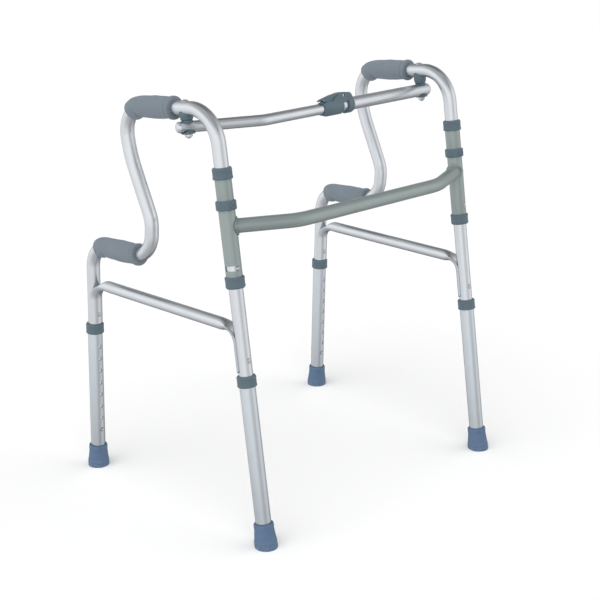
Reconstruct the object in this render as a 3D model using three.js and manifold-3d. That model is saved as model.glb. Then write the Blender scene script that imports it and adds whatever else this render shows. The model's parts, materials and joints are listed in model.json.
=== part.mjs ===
// Folding walking frame with two handle levels on each side.
// Millimetres, +Z up. The front of the frame faces -Y, the user stands behind it at +Y.
// "left" and "right" are the user's own. The origin is on the floor under the middle of the bounding box.
import * as THREE from 'three';
import { mergeVertices } from 'three/addons/utils/BufferGeometryUtils.js';
import Module from 'manifold-3d';

const wasm = await Module();
wasm.setup();

const degrees = THREE.MathUtils.degToRad;

// ---- Driving dimensions ----

// Stance
const FRONT_LEAN = degrees(8.63);      // front legs lean backwards
const REAR_LEAN = degrees(1.79);       // rear legs lean forwards
const TOE_OUT = degrees(1.3);          // side frames open towards the user
const HINGE_HALF_WIDTH = 301;          // front leg axis to the middle plane
const REAR_FOOT_DEPTH = 487.9;         // front foot to rear foot along the floor
const ORIGIN_DEPTH = 243.9;            // front foot to the origin

// Tubes
const TUBE_RADIUS = 12.7;
const TUBE_WALL = 1.2;
const TUBE_SIDES = 12;
const RUNNING_GAP = 0.3;
const DEGREES_PER_STEP = 16;

// Side frame: corners of the tube's centre line in side view, [depth, height, bend radius]
const HANDLE_TOP = [117, 770.7, 64];
const HANDLE_REAR = [359.4, 746.9, 52.7];
const DIAGONAL_TOP = [349.9, 666.5, 200];
const DIAGONAL_FOOT = [292.1, 546.5, 61];
const LOW_HANDLE_FRONT = [296.1, 475.9, 50];
const LOW_HANDLE_REAR = [473.3, 465.8, 49.4];
const LEG_END = 62;                    // lower end of the frame tube above the floor, along the leg

// Legs
const EXTENSION_RADIUS = 14.3;
const EXTENSION_BORE = 13.15;
const EXTENSION_SIDES = 14;
const EXTENSION_FOOT = 9;              // lower end, inside the rubber tip
const FRONT_EXTENSION_TOP = 315.5;
const REAR_EXTENSION_TOP = 303;
const HOLE_PITCH = 25.4;
const HOLE_COUNT = 8;
const HOLE_RADIUS = 3.9;
const BUTTON_HEIGHT = 81;
const BUTTON_RADIUS = 3.2;
const TIP_HEIGHT = 45;
const TIP_TOP_RADIUS = 17.6;
const TIP_FOOT_RADIUS = 21;
const COLLAR_HEIGHT = 20;
const COLLAR_RADIUS = 17.2;
const COLLAR_SIDES = 16;
const COLLAR_GAP = 0.4;

// Hinge sleeves on the front legs, heights along the leg
const SLEEVE_RADIUS = 14.6;
const SLEEVE_BORE = 13.1;
const SLEEVE_SIDES = 18;
const BOTTOM_COLLAR = 484.5;
const MID_COLLAR = 618;
const TOP_COLLAR = 672.6;
const MID_COLLAR_HEIGHT = 16;
const MID_COLLAR_RADIUS = 18;
const SLOT_CENTRE = 510;
const SLOT_HEIGHT = 9.5;
const PIN_ANGLE = degrees(14);         // fold pin, outwards from straight ahead
const FOLD_RANGE = degrees(86);
const SLOT_MARGIN = degrees(16);
const PIN_RADIUS = 3.5;
const PIN_LENGTH = 8;

// Front cross tube, [half width, depth, height]
const CROSS_END = [301, 87, 575];
const CROSS_CORNER = [185, 34, 575];
const CROSS_BEND = 100;

// Side brace, [depth, height, bend radius]
const BRACE_RADIUS = 11;
const BRACE_WALL = 1.3;
const BRACE_REAR = [461.7, 389.6, 35];
const BRACE_FRONT = [74, 396.3, 30];
const BRACE_DROP = 47;                 // straight run down the leg below each corner
const SADDLE_RADIUS = 15.3;
const SADDLE_BORE = 13.1;
const SADDLE_WRAP = degrees(80);       // each way from the middle
const REAR_SADDLE = [308, 356];        // lower and upper end, heights along the leg
const FRONT_SADDLE = [324, 372];
const REAR_RIVET = 327;
const FRONT_RIVET = 346;
const RIVET_BORE = 2.7;
const RIVET_RADIUS = 2.4;
const RIVET_HEAD = 4.6;

// Grips: each starts this far past the end of the bend in front of it
const GRIP_LENGTH = 122;
const HIGH_GRIP_START = 44;
const LOW_GRIP_START = -8;
const GRIP_BORE = 13.9;
const GRIP_SIDES = 12;

// Top bar
const BOLT_DEPTH = 75;                 // bolt axis behind the front leg axis
const BOLT_RADIUS = 3;
const BOLT_BORE = 3.5;
const NUT_RADIUS = 6.6;
const OUTER_RADIUS = 12.25;
const OUTER_WALL = 1;
const INNER_RADIUS = 10;
const INNER_WALL = 1;
const BAR_LEVEL = 744;                 // straight part, height along the front legs
const CRANK_LEVEL = 751.7;             // cranked end
const CRANK_LENGTH = 142;
const CRANK_SETBACK = 38;
const CRANK_BEND = 60;
const BAR_END = 12;                    // tube past the bolt, before the rounded end
const OUTER_LENGTH = 305;
const INNER_END = 178;                 // inner tube's hidden end, from the left bolt
const SPACER_RADIUS = 12;
const SADDLE_WASHER_WEB = 1.5;
const CRANK_CLEARANCE = 0.9;           // the cranked end rises a little through its washers
const BUSH_LENGTH = 20;
const BUSH_SETBACK = 12;

// Catch on the outer tube's mouth
const CATCH_LIP = 6;
const CATCH_SLEEVE_RADIUS = 15.4;
const CATCH_SLEEVE_END = 46;
const CATCH_RING_START = 61;
const CATCH_RING_LENGTH = 16;
const CATCH_RING_RADIUS = 16.2;
const CATCH_PIN_X = 50;
const CATCH_PIN_HEIGHT = 19;
const CATCH_PIN_RADIUS = 2.5;
const EAR_OUTSIDE = 12;
const EAR_HALF_WIDTH = 1.3;
const LEVER_HALF_WIDTH = 9;

// ---- Materials ----

function material(colour, roughness, metalness) {
  return new THREE.MeshStandardMaterial({ color: colour, roughness, metalness });
}

const ALUMINIUM = material(0xc4c8cc, 0.35, 0.9);
const GREY_PAINT = material(0x95a39f, 0.45, 0.2);
const COLLAR_PLASTIC = material(0x5c7079, 0.5, 0);
const TIP_RUBBER = material(0x566e88, 0.75, 0);
const FOAM = material(0x6f7a81, 0.95, 0);
const STEEL = material(0xb9bdc0, 0.3, 1);

// ---- Geometry helpers ----

// A centre line of straight runs joined by arcs. Each corner is { point, bend }.
class BentPath extends THREE.Curve {
  constructor(corners, degreesPerStep = DEGREES_PER_STEP) {
    super();
    this.stations = [];
    this.bendEnds = [];                // distances along the path where each bend ends
    corners.forEach(({ point, bend }, index) => {
      const before = corners[index - 1];
      const after = corners[index + 1];
      if (!before || !after) {
        const tangent = before ? point.clone().sub(before.point) : after.point.clone().sub(point);
        this.stations.push({ point: point.clone(), tangent: tangent.normalize() });
        return;
      }
      this.addArc(before.point, point, after.point, bend, degreesPerStep);
    });
    this.steps = this.stations.length - 1;
  }

  length() {
    let total = 0;
    this.stations.forEach(({ point }, index) => {
      if (index > 0) total += point.distanceTo(this.stations[index - 1].point);
    });
    return total;
  }

  addArc(before, corner, after, bend, degreesPerStep) {
    const arriving = corner.clone().sub(before).normalize();
    const leaving = after.clone().sub(corner).normalize();
    const turn = arriving.angleTo(leaving);
    const inward = leaving.clone().addScaledVector(arriving, -leaving.dot(arriving)).normalize();
    const start = corner.clone().addScaledVector(arriving, -bend * Math.tan(turn / 2));
    const centre = start.clone().addScaledVector(inward, bend);
    const count = Math.max(1, Math.ceil(THREE.MathUtils.radToDeg(turn) / degreesPerStep));
    for (let i = 0; i <= count; i += 1) {
      const angle = turn * i / count;
      const point = centre.clone()
        .addScaledVector(inward, -bend * Math.cos(angle))
        .addScaledVector(arriving, bend * Math.sin(angle));
      const tangent = arriving.clone()
        .multiplyScalar(Math.cos(angle))
        .addScaledVector(inward, Math.sin(angle));
      this.stations.push({ point, tangent });
    }
    this.bendEnds.push(this.length());
  }

  getPointAt(u, target = new THREE.Vector3()) {
    return target.copy(this.stations[Math.round(u * this.steps)].point);
  }

  getTangentAt(u, target = new THREE.Vector3()) {
    return target.copy(this.stations[Math.round(u * this.steps)].tangent);
  }

  // Point and tangent at a true distance along the path
  at(distance) {
    let left = distance;
    for (let i = 0; i < this.steps; i += 1) {
      const a = this.stations[i];
      const b = this.stations[i + 1];
      const length = a.point.distanceTo(b.point);
      if (left <= length || i === this.steps - 1) {
        const t = left / length;
        return {
          point: a.point.clone().lerp(b.point, t),
          tangent: a.tangent.clone().lerp(b.tangent, THREE.MathUtils.clamp(t, 0, 1)).normalize(),
        };
      }
      left -= length;
    }
    return null;
  }
}

function polygon(radius, sides) {
  const points = [];
  for (let i = 0; i < sides; i += 1) {
    const angle = 2 * Math.PI * i / sides;
    points.push(new THREE.Vector2(radius * Math.cos(angle), radius * Math.sin(angle)));
  }
  return points;
}

function solidTube(path, radius, sides = TUBE_SIDES) {
  const shape = new THREE.Shape(polygon(radius, sides));
  return new THREE.ExtrudeGeometry(shape, { steps: path.steps, bevelEnabled: false, extrudePath: path });
}

function hollowTube(path, outerRadius, innerRadius, sides = TUBE_SIDES) {
  const shape = new THREE.Shape(polygon(outerRadius, sides));
  shape.holes.push(new THREE.Path(polygon(innerRadius, sides)));
  return new THREE.ExtrudeGeometry(shape, { steps: path.steps, bevelEnabled: false, extrudePath: path });
}

// A ring turned about Z; the profile lists [radius, height] and closes on itself
function turned(profile, sides) {
  const points = profile.map(([radius, height]) => new THREE.Vector2(radius, height));
  if (points[0].x > 0) points.push(points[0].clone());
  const geometry = new THREE.LatheGeometry(points, sides);
  geometry.rotateX(Math.PI / 2);
  return geometry;
}

function rod(radius, length, sides = 12) {
  const geometry = new THREE.CylinderGeometry(radius, radius, length, sides);
  geometry.rotateX(Math.PI / 2);
  return geometry;
}

function toSolid(geometry) {
  const bare = geometry.clone();
  bare.deleteAttribute('normal');
  bare.deleteAttribute('uv');
  const merged = mergeVertices(bare, 1e-4);
  return new wasm.Manifold(new wasm.Mesh({
    numProp: 3,
    vertProperties: new Float32Array(merged.attributes.position.array),
    triVerts: new Uint32Array(merged.index.array),
  }));
}

function toGeometry(solid) {
  const mesh = solid.getMesh();
  const geometry = new THREE.BufferGeometry();
  geometry.setAttribute('position', new THREE.BufferAttribute(new Float32Array(mesh.vertProperties), 3));
  geometry.setIndex(new THREE.BufferAttribute(new Uint32Array(mesh.triVerts), 1));
  return geometry;
}

function join(...geometries) {
  return toGeometry(geometries.map(toSolid).reduce((sum, next) => sum.add(next)));
}

function cut(base, ...tools) {
  return toGeometry(tools.map(toSolid).reduce((left, tool) => left.subtract(tool), toSolid(base)));
}

function named(name, geometry, look) {
  const mesh = new THREE.Mesh(geometry, look);
  mesh.name = name;
  return mesh;
}

// ---- Frame of reference ----

// Everything stands in a group that leans with the front legs: x across, y back from the leg, z up the leg.
const walker = new THREE.Group();
const leaning = new THREE.Group();
leaning.rotation.x = -FRONT_LEAN;
leaning.position.y = -ORIGIN_DEPTH;
walker.add(leaning);

function leaningPoint(across, depth, height) {
  return new THREE.Vector3(
    across,
    depth * Math.cos(FRONT_LEAN) - height * Math.sin(FRONT_LEAN),
    depth * Math.sin(FRONT_LEAN) + height * Math.cos(FRONT_LEAN),
  );
}

function sideCorner([depth, height, bend]) {
  return { point: leaningPoint(0, depth, height), bend };
}

const rearFoot = leaningPoint(0, REAR_FOOT_DEPTH, 0);
const rearUp = new THREE.Vector3(0, -Math.sin(FRONT_LEAN + REAR_LEAN), Math.cos(FRONT_LEAN + REAR_LEAN));

// ---- Side frames ----

const framePath = new BentPath([
  { point: new THREE.Vector3(0, 0, LEG_END) },
  sideCorner(HANDLE_TOP),
  sideCorner(HANDLE_REAR),
  sideCorner(DIAGONAL_TOP),
  sideCorner(DIAGONAL_FOOT),
  sideCorner(LOW_HANDLE_FRONT),
  sideCorner(LOW_HANDLE_REAR),
  { point: rearFoot.clone().addScaledVector(rearUp, LEG_END) },
]);

// Height of the handle's centre line over the bolt
const handleFront = leaningPoint(0, HANDLE_TOP[0], HANDLE_TOP[1]);
const handleRear = leaningPoint(0, HANDLE_REAR[0], HANDLE_REAR[1]);
const handleSlope = (handleRear.z - handleFront.z) / (handleRear.y - handleFront.y);
const HANDLE_OVER_BOLT = handleFront.z + handleSlope * (BOLT_DEPTH - handleFront.y);

// A round hole from front to back of a leg that stands on z
function crossHole(radius, length, middle, height, sides = 8) {
  const geometry = new THREE.CylinderGeometry(radius, radius, length, sides);
  geometry.translate(0, middle, height);
  return geometry;
}

function alongRearLeg(geometry) {
  geometry.rotateX(FRONT_LEAN + REAR_LEAN);
  geometry.translate(rearFoot.x, rearFoot.y, rearFoot.z);
  return geometry;
}

function pinDirection(side) {
  return Math.PI + side * PIN_ANGLE;
}

function pinAcross(geometry, side, height) {
  geometry.rotateZ(pinDirection(side));
  geometry.translate(0, 0, height);
  return geometry;
}

function sideFrameTube(side) {
  const wallToWall = 2 * TUBE_RADIUS + 4;
  const boltHole = rod(BOLT_BORE, wallToWall, 8);
  boltHole.translate(0, BOLT_DEPTH, HANDLE_OVER_BOLT);
  const pinHole = crossHole(PIN_RADIUS + RUNNING_GAP, TUBE_RADIUS, TUBE_RADIUS, 0);
  return cut(
    hollowTube(framePath, TUBE_RADIUS, TUBE_RADIUS - TUBE_WALL),
    boltHole,
    pinAcross(pinHole, side, SLOT_CENTRE),
    crossHole(RIVET_BORE, wallToWall, 0, FRONT_RIVET),
    crossHole(HOLE_RADIUS, TUBE_RADIUS, TUBE_RADIUS, BUTTON_HEIGHT),
    alongRearLeg(crossHole(RIVET_BORE, wallToWall, 0, REAR_RIVET)),
    alongRearLeg(crossHole(HOLE_RADIUS, TUBE_RADIUS, -TUBE_RADIUS, BUTTON_HEIGHT)),
  );
}

// ---- Side braces and their rivets ----

function saddle([low, high], facing) {
  const shape = new THREE.Shape();
  shape.absarc(0, 0, SADDLE_RADIUS, -SADDLE_WRAP, SADDLE_WRAP, false);
  shape.absarc(0, 0, SADDLE_BORE, SADDLE_WRAP, -SADDLE_WRAP, true);
  const depth = high - low;
  const geometry = new THREE.ExtrudeGeometry(shape, { depth, bevelEnabled: false, curveSegments: 4 });
  geometry.rotateZ(facing * Math.PI / 2);
  geometry.translate(0, 0, low);
  return geometry;
}

function sideBrace() {
  const [rearDepth, rearHeight] = BRACE_REAR;
  const [frontDepth, frontHeight] = BRACE_FRONT;
  const rearEnd = leaningPoint(0, rearDepth, rearHeight).addScaledVector(rearUp, -BRACE_DROP);
  const frontEnd = leaningPoint(0, frontDepth, frontHeight).add(new THREE.Vector3(0, 0, -BRACE_DROP));
  const path = new BentPath([
    { point: rearEnd },
    sideCorner(BRACE_REAR),
    sideCorner(BRACE_FRONT),
    { point: frontEnd },
  ]);
  const tube = hollowTube(path, BRACE_RADIUS, BRACE_RADIUS - BRACE_WALL, 10);
  const frontSaddle = saddle(FRONT_SADDLE, 1);
  const rearSaddle = alongRearLeg(saddle(REAR_SADDLE, -1));
  const clearFront = rod(SADDLE_BORE, 300, SLEEVE_SIDES);
  clearFront.translate(0, 0, 360);
  const clearRear = rod(SADDLE_BORE, 300, SLEEVE_SIDES);
  clearRear.translate(0, 0, 340);
  return cut(
    join(tube, frontSaddle, rearSaddle),
    clearFront,
    alongRearLeg(clearRear),
    crossHole(RIVET_BORE, 60, 30, FRONT_RIVET),
    alongRearLeg(crossHole(RIVET_BORE, 60, -30, REAR_RIVET)),
  );
}

// Dome head towards -y, shank towards +y; the origin is under the head
function rivet(shankLength) {
  const geometry = turned([
    [0, 0],
    [RIVET_RADIUS, 0],
    [RIVET_RADIUS, shankLength],
    [RIVET_HEAD, shankLength],
    [RIVET_HEAD * 0.8, shankLength + 1.3],
    [0, shankLength + 2],
  ], 8);
  geometry.translate(0, 0, -shankLength);
  geometry.rotateX(Math.PI / 2);
  return geometry;
}

// ---- Legs ----

function legCollar(lipBore) {
  const half = COLLAR_HEIGHT / 2;
  const bore = EXTENSION_RADIUS + COLLAR_GAP;
  return turned([
    [bore, -half],
    [COLLAR_RADIUS - 0.8, -half],
    [COLLAR_RADIUS, -half + 1.5],
    [COLLAR_RADIUS, half - 3],
    [COLLAR_RADIUS - 1.8, half],
    [lipBore, half],
    [lipBore, half - 2.7],
    [bore, half - 2.7],
  ], COLLAR_SIDES);
}

function extensionTube(top, holeSide) {
  const path = new BentPath([
    { point: new THREE.Vector3(0, 0, EXTENSION_FOOT) },
    { point: new THREE.Vector3(0, 0, top) },
  ]);
  const holes = [];
  for (let i = 0; i < HOLE_COUNT; i += 1) {
    const height = BUTTON_HEIGHT + i * HOLE_PITCH;
    holes.push(crossHole(HOLE_RADIUS, EXTENSION_RADIUS, holeSide * EXTENSION_RADIUS, height, 6));
  }
  return cut(hollowTube(path, EXTENSION_RADIUS, EXTENSION_BORE, EXTENSION_SIDES), ...holes);
}

function rubberTip() {
  const bore = EXTENSION_RADIUS + RUNNING_GAP;
  return turned([
    [0, -5],
    [TIP_FOOT_RADIUS - 0.4, -5],
    [TIP_FOOT_RADIUS, 8],
    [TIP_FOOT_RADIUS - 0.6, 14],
    [TIP_TOP_RADIUS + 0.4, TIP_HEIGHT - 14],
    [TIP_TOP_RADIUS, TIP_HEIGHT - 2],
    [TIP_TOP_RADIUS - 1, TIP_HEIGHT],
    [bore, TIP_HEIGHT],
    [bore, 8.6],
    [0, 8.6],
  ], COLLAR_SIDES);
}

// Dome towards +y, stem inside the tube
function snapButton() {
  const geometry = turned([
    [0, 7.6],
    [BUTTON_RADIUS + 1.5, 7.6],
    [BUTTON_RADIUS + 1.5, 9],
    [BUTTON_RADIUS, 9],
    [BUTTON_RADIUS, EXTENSION_RADIUS + 0.6],
    [BUTTON_RADIUS * 0.7, EXTENSION_RADIUS + 2],
    [0, EXTENSION_RADIUS + 2.5],
  ], 8);
  geometry.rotateX(-Math.PI / 2);
  return geometry;
}

function leg(place, sideName, top, holeSide) {
  const group = new THREE.Group();
  const prefix = `${place}_${sideName}`;
  const collar = named(`leg_collar_${prefix}`, legCollar(SLEEVE_BORE), COLLAR_PLASTIC);
  collar.position.z = top + 3 - COLLAR_HEIGHT / 2;
  const button = named(`snap_button_${prefix}`, snapButton(), STEEL);
  button.position.z = BUTTON_HEIGHT;
  button.rotation.z = holeSide > 0 ? 0 : Math.PI;
  group.add(
    named(`leg_extension_${prefix}`, extensionTube(top, holeSide), ALUMINIUM),
    collar,
    named(`rubber_tip_${prefix}`, rubberTip(), TIP_RUBBER),
    button,
  );
  return group;
}

// ---- Grips ----

// Foam sleeve: a ring at the front, a barrel, and a bulb behind a finger notch
function gripProfile() {
  const outside = [
    [0, 19.2],
    [0.02, 20.6],
    [0.07, 20.6],
    [0.1, 19],
    [0.4, 20.2],
    [0.74, 19.2],
    [0.82, 19.4],
    [0.93, 19.8],
    [1, 17.4],
  ];
  const inside = [1, 0.9, 0.8, 0.7, 0].map((t) => [t, GRIP_BORE]);
  return [...outside, ...inside];
}

// Bends a turned ring, whose axis is z, onto a path
function bendOnto(geometry, path, start) {
  const position = geometry.attributes.position;
  const across = new THREE.Vector3(1, 0, 0);
  for (let i = 0; i < position.count; i += 1) {
    const { point, tangent } = path.at(start + position.getZ(i));
    const up = new THREE.Vector3().crossVectors(tangent, across);
    point.addScaledVector(across, position.getX(i)).addScaledVector(up, position.getY(i));
    position.setXYZ(i, point.x, point.y, point.z);
  }
  return geometry;
}

function grip(bendNumber, start) {
  const profile = gripProfile().map(([t, radius]) => [radius, t * GRIP_LENGTH]);
  return bendOnto(turned(profile, GRIP_SIDES), framePath, framePath.bendEnds[bendNumber] + start);
}

// ---- Bolts, spacers and washers ----

function turnedAt(profile, sides, height) {
  const geometry = turned(profile, sides);
  geometry.translate(0, 0, height);
  return geometry;
}

// Low-headed bolt; the head sits on the handle
function headedBolt(low) {
  const seat = HANDLE_OVER_BOLT + TUBE_RADIUS + 0.4;
  return turned([
    [0, low],
    [BOLT_RADIUS, low],
    [BOLT_RADIUS, seat],
    [6, seat],
    [6, seat + 1.2],
    [4.2, seat + 3],
    [0, seat + 3.6],
  ], 10);
}

function spacer(low) {
  const height = HANDLE_OVER_BOLT - 4 - low;
  const body = turnedAt([
    [BOLT_BORE, 0],
    [SPACER_RADIUS - 0.6, 0],
    [SPACER_RADIUS, 1],
    [SPACER_RADIUS, height],
    [BOLT_BORE, height],
  ], 16, low);
  body.translate(0, BOLT_DEPTH, 0);
  const geometry = cut(body, solidTube(framePath, TUBE_RADIUS + RUNNING_GAP));
  geometry.translate(0, -BOLT_DEPTH, 0);
  return geometry;
}

// Washer with a hollow that hugs a bar along x; the bar's axis is z = 0
function saddleWasher(barRadius, clearance) {
  const foot = barRadius * 0.45;
  const top = barRadius + clearance + SADDLE_WASHER_WEB;
  const body = turned([[BOLT_BORE, foot], [SPACER_RADIUS, foot], [SPACER_RADIUS, top], [BOLT_BORE, top]], 16);
  return cut(body, alongBar(rod(barRadius + clearance, 80, SLEEVE_SIDES)));
}

function lockNut() {
  const bore = BOLT_RADIUS + 0.7;
  return turned([[bore, 0], [NUT_RADIUS, 0], [NUT_RADIUS, 4.6], [5, 6.4], [bore, 6.4]], 6);
}

// ---- Top bar ----

// Turns a shape that stands on z so that it lies on x
function alongBar(geometry) {
  geometry.rotateY(Math.PI / 2);
  return geometry;
}

function roundedEnd(radius, wall) {
  const plug = radius - wall / 2;
  return turned([
    [0, -4],
    [plug, -4],
    [plug, -1],
    [radius * 0.97, -1],
    [radius * 0.97, 0.2],
    [radius * 0.92, radius * 0.38],
    [radius * 0.7, radius * 0.7],
    [radius * 0.38, radius * 0.92],
    [0, radius],
  ], TUBE_SIDES);
}

const leftBolt = new THREE.Vector3(
  HINGE_HALF_WIDTH + BOLT_DEPTH * Math.sin(TOE_OUT),
  BOLT_DEPTH * Math.cos(TOE_OUT),
  BAR_LEVEL,
);
const rightBolt = new THREE.Vector3(-leftBolt.x, leftBolt.y, CRANK_LEVEL);
const crank = new THREE.Vector3(rightBolt.x + CRANK_LENGTH, rightBolt.y - CRANK_SETBACK, BAR_LEVEL);
const barYaw = Math.atan2(leftBolt.y - crank.y, leftBolt.x - crank.x);

// The bar's own frame: origin on the left bolt, x along the straight part away from the crank
const bar = new THREE.Group();
bar.position.copy(leftBolt);
bar.rotation.z = barYaw;
const Z_AXIS = new THREE.Vector3(0, 0, 1);
const crankInBar = crank.clone().sub(leftBolt).applyAxisAngle(Z_AXIS, -barYaw);
const rightBoltInBar = rightBolt.clone().sub(leftBolt).applyAxisAngle(Z_AXIS, -barYaw);
const crankedWay = rightBoltInBar.clone().sub(crankInBar).normalize();
const crankedYaw = Math.atan2(crankedWay.y, crankedWay.x);

function outerBar() {
  const path = new BentPath([
    { point: new THREE.Vector3(-OUTER_LENGTH, 0, 0) },
    { point: new THREE.Vector3(BAR_END, 0, 0) },
  ]);
  const end = alongBar(roundedEnd(OUTER_RADIUS, OUTER_WALL));
  end.translate(BAR_END, 0, 0);
  const tube = join(hollowTube(path, OUTER_RADIUS, OUTER_RADIUS - OUTER_WALL), end);
  return cut(tube, rod(BOLT_BORE, 40, 8));
}

function innerBar() {
  const tip = rightBoltInBar.clone().addScaledVector(crankedWay, BAR_END);
  const path = new BentPath([
    { point: tip },
    { point: crankInBar, bend: CRANK_BEND },
    { point: new THREE.Vector3(-INNER_END, 0, 0) },
  ], 7);
  const end = roundedEnd(INNER_RADIUS, INNER_WALL);
  end.applyQuaternion(new THREE.Quaternion().setFromUnitVectors(Z_AXIS, crankedWay));
  end.translate(tip.x, tip.y, tip.z);
  const hole = rod(BOLT_BORE, 40, 8);
  hole.translate(rightBoltInBar.x, rightBoltInBar.y, rightBoltInBar.z);
  return cut(join(hollowTube(path, INNER_RADIUS, INNER_RADIUS - INNER_WALL), end), hole);
}

function guideBush() {
  return alongBar(turned([
    [INNER_RADIUS + 0.3, 0],
    [OUTER_RADIUS - OUTER_WALL - 0.4, 0],
    [OUTER_RADIUS - OUTER_WALL - 0.4, BUSH_LENGTH],
    [INNER_RADIUS + 0.3, BUSH_LENGTH],
  ], TUBE_SIDES));
}

function box(xRange, yRange, zRange) {
  const geometry = new THREE.BoxGeometry(xRange[1] - xRange[0], yRange[1] - yRange[0], zRange[1] - zRange[0]);
  geometry.translate((xRange[0] + xRange[1]) / 2, (yRange[0] + yRange[1]) / 2, (zRange[0] + zRange[1]) / 2);
  return geometry;
}

// Side view in x and z, as thick as twice halfWidth along y
function sidePlate(points, halfWidth) {
  const shape = new THREE.Shape(points.map(([x, z]) => new THREE.Vector2(x, z)));
  const geometry = new THREE.ExtrudeGeometry(shape, { depth: 2 * halfWidth, bevelEnabled: false });
  geometry.rotateX(Math.PI / 2);
  geometry.translate(0, halfWidth, 0);
  return geometry;
}

// The catch: x = 0 is the outer tube's mouth, the ring end is towards the left bolt
function catchHousing() {
  const bore = OUTER_RADIUS + COLLAR_GAP;
  const lip = INNER_RADIUS + 0.5;
  const sleeve = alongBar(turned([
    [lip, -CATCH_LIP],
    [lip + 2, -CATCH_LIP],
    [CATCH_SLEEVE_RADIUS - 0.6, 5],
    [CATCH_SLEEVE_RADIUS, 9],
    [CATCH_SLEEVE_RADIUS, CATCH_SLEEVE_END],
    [bore, CATCH_SLEEVE_END],
    [bore, -0.4],
    [lip, -0.4],
  ], SLEEVE_SIDES));
  const ring = alongBar(turnedAt([
    [bore, 0],
    [CATCH_RING_RADIUS, 0],
    [CATCH_RING_RADIUS, 14.5],
    [CATCH_RING_RADIUS - 1.5, CATCH_RING_LENGTH],
    [bore, CATCH_RING_LENGTH],
  ], SLEEVE_SIDES, CATCH_RING_START));
  const bridge = box([CATCH_SLEEVE_END - 4, CATCH_RING_START + 4], [9, 15], [-9, 9]);
  const hump = sidePlate([
    [CATCH_RING_START, 8],
    [CATCH_RING_START, 23.4],
    [CATCH_RING_START + 8, 22.6],
    [CATCH_RING_START + 15, 15],
    [CATCH_RING_START + 15, 8],
  ], EAR_OUTSIDE);
  const ears = [-1, 1].map((side) => {
    const ear = sidePlate([
      [18, 6],
      [26, 17.5],
      [40, 22.4],
      [CATCH_RING_START + 1, 22.4],
      [CATCH_RING_START + 1, 6],
    ], EAR_HALF_WIDTH);
    ear.translate(0, side * (EAR_OUTSIDE - EAR_HALF_WIDTH), 0);
    return ear;
  });
  const clearance = alongBar(rod(bore, 200, SLEEVE_SIDES));
  clearance.translate(100 - 0.4, 0, 0);
  const pinHole = crossHole(CATCH_PIN_RADIUS + 0.3, 60, 0, CATCH_PIN_HEIGHT, 10);
  pinHole.translate(CATCH_PIN_X, 0, 0);
  return cut(join(sleeve, ring, bridge, hump, ...ears), clearance, pinHole);
}

function catchLever() {
  const plate = sidePlate([
    [-5, 8],
    [-5, 16.4],
    [24, 21.6],
    [48, 24.2],
    [58.5, 24.2],
    [59.6, 22],
    [59.6, 8],
  ], LEVER_HALF_WIDTH);
  const pinHole = crossHole(CATCH_PIN_RADIUS + 0.3, 60, 0, CATCH_PIN_HEIGHT, 10);
  pinHole.translate(CATCH_PIN_X, 0, 0);
  return cut(plate, alongBar(rod(CATCH_SLEEVE_RADIUS + 0.3, 300, SLEEVE_SIDES)), pinHole);
}

function catchPin() {
  return crossHole(CATCH_PIN_RADIUS, 2 * EAR_OUTSIDE + 1.2, 0, 0, 12);
}

// ---- Front assembly: cross tube, hinge sleeves and their collars ----

function crossTube() {
  const [endX, endDepth, endHeight] = CROSS_END;
  const [cornerX, cornerDepth, cornerHeight] = CROSS_CORNER;
  const path = new BentPath([
    { point: leaningPoint(-endX, endDepth, endHeight) },
    { point: leaningPoint(-cornerX, cornerDepth, cornerHeight), bend: CROSS_BEND },
    { point: leaningPoint(cornerX, cornerDepth, cornerHeight), bend: CROSS_BEND },
    { point: leaningPoint(endX, endDepth, endHeight) },
  ], 8);
  const copes = [-1, 1].map((side) => {
    const cope = rod(SLEEVE_RADIUS + 0.45, 200, SLEEVE_SIDES);
    cope.translate(side * HINGE_HALF_WIDTH, 0, (BOTTOM_COLLAR + TOP_COLLAR) / 2);
    return cope;
  });
  return cut(hollowTube(path, TUBE_RADIUS, TUBE_RADIUS - TUBE_WALL, 14), ...copes);
}

function sleeveTube(low, high) {
  return turned([
    [SLEEVE_BORE, low],
    [SLEEVE_RADIUS, low],
    [SLEEVE_RADIUS, high],
    [SLEEVE_BORE, high],
  ], SLEEVE_SIDES);
}

// Lower sleeve with the slot that the fold pin travels in
function slottedSleeve(side) {
  const ahead = -Math.PI / 2;
  const first = ahead + side * (PIN_ANGLE - SLOT_MARGIN);
  const last = ahead + side * (PIN_ANGLE + FOLD_RANGE + SLOT_MARGIN);
  const sector = new THREE.Shape();
  sector.absarc(0, 0, 2 * SLEEVE_RADIUS, Math.min(first, last), Math.max(first, last), false);
  sector.lineTo(0, 0);
  const slot = new THREE.ExtrudeGeometry(sector, {
    depth: SLOT_HEIGHT,
    bevelEnabled: false,
    curveSegments: 10,
  });
  slot.translate(0, 0, SLOT_CENTRE - SLOT_HEIGHT / 2);
  return cut(sleeveTube(BOTTOM_COLLAR - 7, MID_COLLAR - 0.2), slot);
}

// Collar that caps a sleeve end; the lip covers the sleeve's edge
function capCollar() {
  const half = COLLAR_HEIGHT / 2;
  const bore = SLEEVE_RADIUS + COLLAR_GAP;
  return turned([
    [bore, -half],
    [COLLAR_RADIUS - 0.4, -half],
    [COLLAR_RADIUS + 0.2, -half + 1.5],
    [COLLAR_RADIUS + 0.2, half - 3],
    [COLLAR_RADIUS - 1.6, half],
    [SLEEVE_BORE, half],
    [SLEEVE_BORE, half - 2.7],
    [bore, half - 2.7],
  ], SLEEVE_SIDES);
}

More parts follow.
